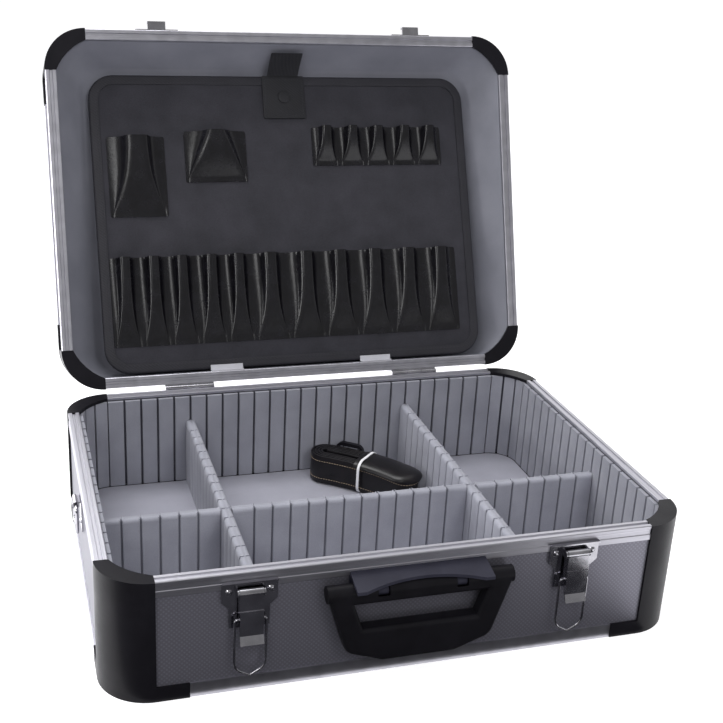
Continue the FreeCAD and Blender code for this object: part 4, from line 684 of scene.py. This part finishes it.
def rounded_line(low, high, z, radius, steps=6):
    """The points of a rounded rectangle."""
    points = []
    for x, y, start in ((high[0] - radius, high[1] - radius, 0), (low[0] + radius, high[1] - radius, 90),
                        (low[0] + radius, low[1] + radius, 180), (high[0] - radius, low[1] + radius, 270)):
        for step in range(steps + 1):
            angle = math.radians(start + 90 * step / steps)
            points.append((x + radius * math.cos(angle), y + radius * math.sin(angle), z))
    return points


black_thread = thread("black_nylon_thread", ("#242429", "#3a3a42"))
seam_line = rounded_line((SEAM_IN - BOARD_HALF, SEAM_IN), (BOARD_HALF - SEAM_IN, BOARD_LONG - SEAM_IN),
                         SEAM_OUT, BOARD_ROUND - SEAM_IN)
seam = stitches("binding_stitches", seam_line, closed=True, pitch=3.6, length=2.8, thick=0.5)
fit(seam, "tool_board", "vinyl", black_thread, matrix=BOARD)


# Pockets: glossy black vinyl, pleated so that each pocket stands out at its mouth and lies flat at
# its sewn foot. Four sizes are sewn to the board: one large, one medium, five loops and eleven long.

def glossy_vinyl(name):
    """PVC with a fine calendered grain and soft buckles 12 mm wide."""
    material, tree, shader, place = surface(name, Roughness=0.24, IOR=1.5)
    grain = add(tree, "TexVoronoi", {"Vector": place, "Scale": 1100.0})
    buckle = add(tree, "TexNoise", {"Vector": place, "Scale": 85.0, "Detail": 3.0})
    both = add(tree, "Mix", {"Factor": 0.08, "A": buckle.outputs["Fac"], "B": grain.outputs["Distance"]})
    tree.links.new(ramp(tree, buckle.outputs["Fac"], [(0.3, "#0b0a0e"), (0.75, "#141319")]),
                   shader.inputs["Base Color"])
    rough = add(tree, "MapRange", {"Value": buckle.outputs["Fac"], "To Min": 0.2, "To Max": 0.32})
    tree.links.new(rough.outputs["Result"], shader.inputs["Roughness"])
    relief(tree, shader, both.outputs[0], 0.8, 0.3)
    return material


vinyl = glossy_vinyl("glossy_black_vinyl")
HEM, FLANGE, SKIN, POCKET_DEPTH = 4.0, 2.0, 1.0, 11.6
# The grid has six columns on either side of the ridge, and HEM takes the first of its twelve rows.
HALF_COLUMNS, ROWS = 6, 12
# How far the skin's middle lies before the board where it is sewn flat, the room between ridge and
# flange at the foot, how much a ridge is crowned at its mouth, and how far a mouth leans aside.
SEWN, FOOT_ROOM, CROWNED, SWAY = 0.7, 0.6, 0.25, 0.9
# A pocket stands out soon above its foot, the sooner the larger this power is.
BULGE = 1.8


def pleat(left, pitch, ridge, bottom, height, depth, lean, spread):
    """One pocket: a grid whose columns climb from the sewn flange over a ridge and down again.

    The ridge widens to its foot: evenly for a spread of 1, and only near the foot for a larger one.
    """
    bpy.ops.object.select_all(action="DESELECT")
    bpy.ops.mesh.primitive_grid_add(x_subdivisions=2 * HALF_COLUMNS, y_subdivisions=ROWS, size=2)
    piece = bpy.context.object
    half, middle = pitch / 2, left + pitch / 2
    for vertex in piece.data.vertices:
        column, row = round(vertex.co.x * HALF_COLUMNS), round((vertex.co.y + 1) * ROWS / 2)
        side, away = (1 if column > 0 else -1), abs(column)
        rise = max(0, row - 1) / (ROWS - 1)
        flare = (1 - rise) ** spread
        out = SEWN + (depth - SEWN) * (1 - (1 - rise) ** BULGE)
        ridge_half = ridge / 2 + (half - FLANGE - FOOT_ROOM - ridge / 2) * flare
        sway = lean * rise * (1 - away / HALF_COLUMNS)
        reach = half - FLANGE
        x, z = {
            0: (0, out), 1: (ridge_half / 2, out + CROWNED * rise), 2: (ridge_half, out - CROWNED * rise),
            3: (ridge_half + (reach - ridge_half) * 0.13, out * 0.55),
            4: (ridge_half + (reach - ridge_half) * 0.4, out * 0.2),
            5: (reach, SEWN), 6: (half, SEWN)}[away]
        y = bottom + (HEM * row if row < 1 else HEM + (height - HEM) * rise)
        vertex.co = Vector((middle + side * x + sway, y, z)) * MM
    return piece


def pocket_row(name, node, left, bottom, height, spread, pockets):
    """A row of pockets, each with its width and its ridge, that lean a little this way and that."""
    pleats = []
    for i, (pitch, ridge) in enumerate(pockets):
        lean = SWAY * math.sin(2.3 * i + 0.7)
        pleats.append(pleat(left, pitch, ridge, bottom, height, POCKET_DEPTH, lean, spread))
        left += pitch
    row = join(name, pleats)
    edit(row, "VERT", everything)
    bpy.ops.mesh.remove_doubles(threshold=0.05 * MM)
    bpy.ops.mesh.normals_make_consistent(inside=False)
    leave()
    modify(row, "SUBSURF", levels=1, render_levels=1)
    modify(row, "SOLIDIFY", thickness=SKIN * MM, offset=-0.6)
    return fit(row, "tool_board", "vinyl", vinyl, node, angle=50, matrix=BOARD)


SMALL, WIDE = (27, 9), (35.2, 11)
pocket_row("large_tool_pocket", "large_pocket", left=-174, bottom=147.5, height=76, spread=2.4,
           pockets=[(54, 19.5)])
pocket_row("medium_tool_pocket", "medium_pocket", left=-101, bottom=179.5, height=49, spread=1.1,
           pockets=[(60, 16)])
pocket_row("small_tool_loops", "small_pocket_strip", left=25.5, bottom=194, height=38, spread=3,
           pockets=[SMALL] * 5)
pocket_row("long_tool_pockets", "long_pocket_strip", left=-178.6, bottom=25, height=84, spread=4,
           pockets=[SMALL] * 5 + [WIDE] * 6)


# Pull tab: vinyl sewn to the top of the board, with a boxed row of stitches and a black press stud.
# Its free end lies on the lid's lining, and pulls the board forward.

PATCH_HALF, PATCH_FOOT, PATCH_FACE, PATCH_BACK = 21, 241, 2.6, 1.0
STUD_RADIUS, STUD_MIDDLE, STUD_BACK, STUD_FACE = 6, 262, 2.4, 3.9
TONGUE_WIDE, TONGUE_LOW, TONGUE_BACK = 31, 281.5, 1.2
BOX_SIDE, BOX_FOOT, BOX_HEAD, BOX_OUT = 2.5, 3, 4, 0.02
# The tab's free end lies past the board's head and out before its face. The tongue goes there in
# two folds, each for its share of the way.
TAB_END = Matrix.Rotation(math.radians(90 - BOARD_LEAN), 4, "X") @ Vector((0, -2.5, 299.9))
TAB_UP, TAB_OUT = TAB_END.z - BOARD_LONG, -TAB_END.y - TONGUE_BACK
UP_SHARES, OUT_SHARES = (0.45, 0.5), (0.38, 0.56)
patch = slab("tab_patch", (-PATCH_HALF, PATCH_FOOT), (PATCH_HALF, BOARD_LONG),
             back=PATCH_BACK, front=PATCH_FACE, radius=1.5, soft=0.5)
stud = slab("tab_stud", (-STUD_RADIUS, STUD_MIDDLE - STUD_RADIUS), (STUD_RADIUS, STUD_MIDDLE + STUD_RADIUS),
            back=STUD_BACK, front=STUD_FACE, radius=STUD_RADIUS - 0.1, soft=0.7)
tongue = cube("tab_tongue", (-TONGUE_WIDE / 2, TONGUE_LOW, TONGUE_BACK),
              (TONGUE_WIDE / 2, BOARD_LONG, PATCH_FACE))
edit(tongue, "FACE", lambda middle, way: way.y > 0.9)
for up, out in zip(UP_SHARES, OUT_SHARES):
    extrude(0, TAB_UP * up, TAB_OUT * out)
leave()
bevel(tongue, 0.4, 2, lambda middle, way: abs(way.x) < 0.1)
tab = join("board_pull_tab", [patch, stud, tongue])
tab_vinyl = tape_cloth("tab_vinyl", "#19191d", "#26262b")
fit(tab, "tool_board", "vinyl", tab_vinyl, "board_tab", matrix=BOARD)
box_line = rounded_line((BOX_SIDE - PATCH_HALF, PATCH_FOOT + BOX_FOOT),
                        (PATCH_HALF - BOX_SIDE, BOARD_LONG - BOX_HEAD), PATCH_FACE + BOX_OUT, 1.5, 3)
box_seam = stitches("tab_stitches", box_line, closed=True, pitch=3.0, length=2.3, thick=0.5)
fit(box_seam, "tool_board", "vinyl", black_thread, matrix=BOARD)


# Shoulder strap: a 28 mm band of black coated webbing, wound flat on its edge in four turns, with a
# line of tan stitches along each side, and a white paper-wire tie round its middle.

STRAP_TURN, STRAP_X, STRAP_Y, STRAP_FOOT = -46, 46.5, 101.5, 9.4
STRAP = turn_z(STRAP_TURN, STRAP_X, STRAP_Y, STRAP_FOOT)
# The band, and the radius and half angle of the bow that the whole winding follows.
BAND, THICK, BOW, HALF_ANGLE = 28.0, 2.4, 190.0, math.radians(13)
# The first stretch's distance from the middle, the step of a turn, and the points to a stretch and an end.
CORE, STEP, TURNS, BOW_STEPS, END_STEPS = 2.6, 3.0, 4, 12, 10


def winding(offset, height):
    """Points along the wound band, that far to the outside of its middle and at that height."""
    places = [CORE + k * STEP / 2 for k in range(2 * TURNS + 1)]
    points = []

    def on_bow(radius, angle):
        return Vector((radius * math.sin(angle), radius * math.cos(angle) - BOW, height))

    for k, place in enumerate(places):
        outward = 1 if k % 2 == 0 else -1
        radius, first = BOW + outward * (place + offset), -HALF_ANGLE * outward
        points += [on_bow(radius, first * (1 - 2 * i / BOW_STEPS)) for i in range(BOW_STEPS + 1)]
        if k < 2 * TURNS:
            end, after = -first, places[k + 1]
            middle = on_bow(BOW + outward * (place - after) / 2, end)
            turn = (place + after) / 2 + offset
            radial = Vector((math.sin(end), math.cos(end), 0)) * outward
            along = Vector((math.cos(end), -math.sin(end), 0)) * outward
            points += [middle + (radial * math.cos(a) + along * math.sin(a)) * turn
                       for a in (math.pi * i / END_STEPS for i in range(1, END_STEPS))]
    return points


def coated_webbing(name):
    """Leather-look coating over webbing, with a grain 1.4 mm wide and a worn satin gloss."""
    material, tree, shader, place = surface(name, Roughness=0.34, IOR=1.5, Specular_IOR_Level=0.35)
    grain = add(tree, "TexVoronoi", {"Vector": place, "Scale": 700.0})
    cloud = add(tree, "TexNoise", {"Vector": place, "Scale": 120.0, "Detail": 4.0})
    tree.links.new(ramp(tree, cloud.outputs["Fac"], [(0.3, "#0c0b0e"), (0.75, "#191619")]),
                   shader.inputs["Base Color"])
    rough = add(tree, "MapRange", {"Value": cloud.outputs["Fac"], "To Min": 0.22, "To Max": 0.42})
    tree.links.new(rough.outputs["Result"], shader.inputs["Roughness"])
    relief(tree, shader, grain.outputs["Distance"], 0.15, 0.4)
    return material


ribbon = curve_path("wound_shoulder_strap", winding(0, BAND / 2), False)
ribbon.data.extrude = BAND / 2 * MM
bpy.ops.object.select_all(action="DESELECT")
ribbon.select_set(True)
bpy.context.view_layer.objects.active = ribbon
bpy.ops.object.convert(target="MESH")
strap = bpy.context.object
edit(strap, "VERT", everything)
bpy.ops.mesh.remove_doubles(threshold=0.01 * MM)
leave()
modify(strap, "SOLIDIFY", thickness=THICK * MM, offset=0)
modify(strap, "BEVEL", width=0.6 * MM, segments=2, limit_method="ANGLE", angle_limit=math.radians(50))
webbing = coated_webbing("coated_black_webbing")
fit(strap, "base", "strap_hide", webbing, "shoulder_strap", matrix=STRAP)

# The last turn is twisted over and lies flat on the winding, from the tie to its front end.
bpy.ops.object.select_all(action="DESELECT")
bpy.ops.mesh.primitive_grid_add(x_subdivisions=16, y_subdivisions=12, size=2)
fold = bpy.context.object
# It starts just behind the tie, hangs HEM_DOWN over the winding's sides, rises to a crown in the
# middle, and is rounded off in an ellipse over the last stretch of its length.
FOLD_START, FOLD_LONG, FOLD_HALF, CROWN, HEM_DOWN, ROUND_SHARE = -7.0, 66.0, 16.9, 5.6, 2.6, 0.26
for vertex in fold.data.vertices:
    share, aside = (vertex.co.x + 1) / 2, vertex.co.y * math.pi / 2
    narrow = max(0.001, 1 - max(0, (share - 1 + ROUND_SHARE) / ROUND_SHARE) ** 2) ** 0.5
    angle = (FOLD_START + FOLD_LONG * share) / BOW
    radius = BOW + FOLD_HALF * narrow * math.sin(aside)
    height = BAND - HEM_DOWN + CROWN * (max(0, math.cos(aside)) * narrow) ** 0.7
    vertex.co = Vector((radius * math.sin(angle), radius * math.cos(angle) - BOW, height)) * MM
edit(fold, "VERT", everything)
bpy.ops.mesh.remove_doubles(threshold=0.3 * MM)
bpy.ops.mesh.normals_make_consistent(inside=False)
leave()
modify(fold, "SUBSURF", levels=1, render_levels=1)
modify(fold, "SOLIDIFY", thickness=1.0 * MM, offset=0)
fold.name = "strap_top_fold"
fit(fold, "base", "strap_hide", webbing, angle=50, matrix=STRAP)

# The stitches are sewn along both edges of the last three stretches and of the ends before them.
tan_thread = thread("tan_waxed_thread", ("#8d7c68", "#b3a18a"))
EDGE_IN, STITCH_OUT, LAST_POINTS = 5.0, 0.12, 3 * (BOW_STEPS + END_STEPS)
for height, label in ((EDGE_IN, "low"), (BAND - EDGE_IN, "high")):
    points = winding(THICK / 2 + STITCH_OUT, height)[-LAST_POINTS:]
    sewn = stitches(f"strap_stitches_{label}", points, closed=False, pitch=2.6, length=2.2, thick=0.6)
    fit(sewn, "base", "strap_hide", tan_thread, matrix=STRAP)

# The tie goes once round the winding and its fold, with a little room.
TIE_HALF, TIE_ROOM, TIE_ROUND, TIE_WIDE, TIE_THICK, TIE_BACK = FOLD_HALF + 1.1, 1.0, 9, 2.5, 0.6, 1.6
tie = flat_outline("strap_tie_loop", (-TIE_HALF, -TIE_ROOM), (TIE_HALF, BAND + CROWN - HEM_DOWN + TIE_ROOM),
                   0, TIE_ROUND)
edit(tie, "FACE", everything)
bpy.ops.mesh.delete(type="ONLY_FACE")
leave()
edit(tie, "EDGE", everything)
extrude(0, 0, TIE_WIDE)
leave()
modify(tie, "SOLIDIFY", thickness=TIE_THICK * MM, offset=0)
face_out(tie)
on_strap = Matrix.Rotation(math.radians(90), 4, "Z") @ Matrix.Rotation(math.radians(90), 4, "X")
white_tie = grained_skin("white_paper_tie", "#e6e6ea", "#f4f4f7", 0.6, 0.8)
fit(tie, "base", "tie_white", white_tie, "strap_tie",
    matrix=STRAP @ Matrix.Translation((-TIE_BACK * MM, 0, 0)) @ on_strap)


# The stage: a pale floor that goes over into white, with the case's own soft shadow. Its lift to
# white is seen by the camera and in reflections, and doesn't light the case.

FLOOR_LIFT = 0.68
bpy.ops.object.select_all(action="DESELECT")
bpy.ops.mesh.primitive_plane_add(size=14, location=(0, 0, 0))
ground = bpy.context.object
ground.name = "ground"
material, tree, shader, place = surface("pale_floor", Roughness=0.9)
shader.inputs["Base Color"].default_value = colour("#dcdcdf")
paths = add(tree, "LightPath").outputs
seen = add(tree, "Math", {0: paths["Is Camera Ray"], 1: paths["Is Glossy Ray"]}, operation="MAXIMUM")
seen = add(tree, "Math", {0: seen.outputs["Value"], 1: paths["Is Transmission Ray"]}, operation="MAXIMUM")
lift = add(tree, "Math", {0: seen.outputs["Value"], 1: FLOOR_LIFT}, operation="MULTIPLY")
shader.inputs["Emission Color"].default_value = colour("#ffffff")
tree.links.new(lift.outputs["Value"], shader.inputs["Emission Strength"])
ground.data.materials.append(material)

# A black card lies before the case, which only reflections show: a painted dark reflection in the case's
# front faces, so that its front keeps its depth. It casts no shadow and lights nothing.
CARD_PLACE, CARD_SIZE = (-1.35, -1.416, 0.001), (3.1, 2.5)
bpy.ops.mesh.primitive_plane_add(size=1, location=CARD_PLACE)
card = bpy.context.object
card.name = "card_painted_reflection"
card.scale = (*CARD_SIZE, 1)
bpy.ops.object.transform_apply(location=True, rotation=True, scale=True)
material, tree, shader, place = surface("matt_card_painted_reflection", Roughness=1.0, Specular_IOR_Level=0.0)
shader.inputs["Base Color"].default_value = colour("#3a3a3e")
card.data.materials.append(material)
card.visible_camera = card.visible_diffuse = card.visible_shadow = False

world = bpy.data.worlds.new("studio")
bpy.context.scene.world = world
world.use_nodes = True
tree = world.node_tree
# The studio's pale backdrop stands behind the case, and the room before it is darker.
way = add(tree, "SeparateXYZ", {"Vector": add(tree, "TexCoord").outputs["Generated"]})
room = add(tree, "MapRange", {"Value": way.outputs["Y"], "From Min": -0.4, "From Max": 0.4,
                              "To Min": 0.3, "To Max": 1.0})
paths = add(tree, "LightPath").outputs
mirrored = add(tree, "Math", {0: paths["Is Glossy Ray"], 1: paths["Is Transmission Ray"]},
               operation="MAXIMUM")
lit = add(tree, "Mix", {"Factor": mirrored.outputs["Value"], "A": 0.45, "B": room.outputs["Result"]})
shown = add(tree, "Math", {0: lit.outputs[0], 1: paths["Is Camera Ray"]}, operation="MAXIMUM")
background = tree.nodes["Background"]
background.inputs["Color"].default_value = (1, 1, 1, 1)
tree.links.new(shown.outputs["Value"], background.inputs["Strength"])


def softbox(name, place, aim, size, power):
    """A lamp with a place, an aim and a width and height in metres, and a power in watts."""
    data = bpy.data.lights.new(name, "AREA")
    data.shape, data.size, data.size_y, data.energy = "RECTANGLE", size[0], size[1], power
    lamp = bpy.data.objects.new(name, data)
    bpy.context.scene.collection.objects.link(lamp)
    lamp.location = place
    lamp.rotation_euler = (Vector(aim) - Vector(place)).to_track_quat("-Z", "Y").to_euler()
    return lamp


softbox("top_softbox", place=(-0.45, 0.5, 1.6), aim=(-0.1, 0, 0.1), size=(1.1, 0.9), power=19)
softbox("left_softbox", place=(-1.3, 0.35, 0.32), aim=(-0.2, 0, 0.08), size=(1.2, 0.4), power=11)
softbox("back_softbox", place=(-0.2, 2.3, 1.1), aim=(0, 0, 0.1), size=(2.6, 0.9), power=16)
softbox("front_softbox", place=(-0.9, -1.35, 1.3), aim=(-0.1, 0.1, 0.1), size=(0.7, 0.6), power=6)
fill = softbox("front_fill", place=(0.3, -1.5, 1.2), aim=(-0.1, 0.1, 0.15), size=(0.7, 0.6), power=9)
fill.visible_glossy = False

# The camera's place, directions and lens were fitted to the picture, whose focal length is in pixels.
PICTURE_WIDTH, FOCAL, SENSOR = 723, 1172.1, 36.0
CAMERA_PLACE = (-0.27655, -0.84920, 0.53018)
camera_data = bpy.data.cameras.new("camera")
camera_data.sensor_width, camera_data.lens = SENSOR, FOCAL / PICTURE_WIDTH * SENSOR
camera_data.clip_start, camera_data.clip_end = 0.05, 30
camera = bpy.data.objects.new("camera", camera_data)
bpy.context.scene.collection.objects.link(camera)
RIGHT, UP = Vector((0.95511, -0.29170, 0.05161)), Vector((0.06053, 0.36272, 0.92993))
BACK = Vector((-0.28998, -0.88506, 0.36410))
camera.matrix_world = Matrix.Translation(CAMERA_PLACE) @ Matrix((RIGHT, UP, BACK)).transposed().to_4x4()
bpy.context.scene.camera = camera
bpy.context.scene.view_settings.view_transform = "Standard"
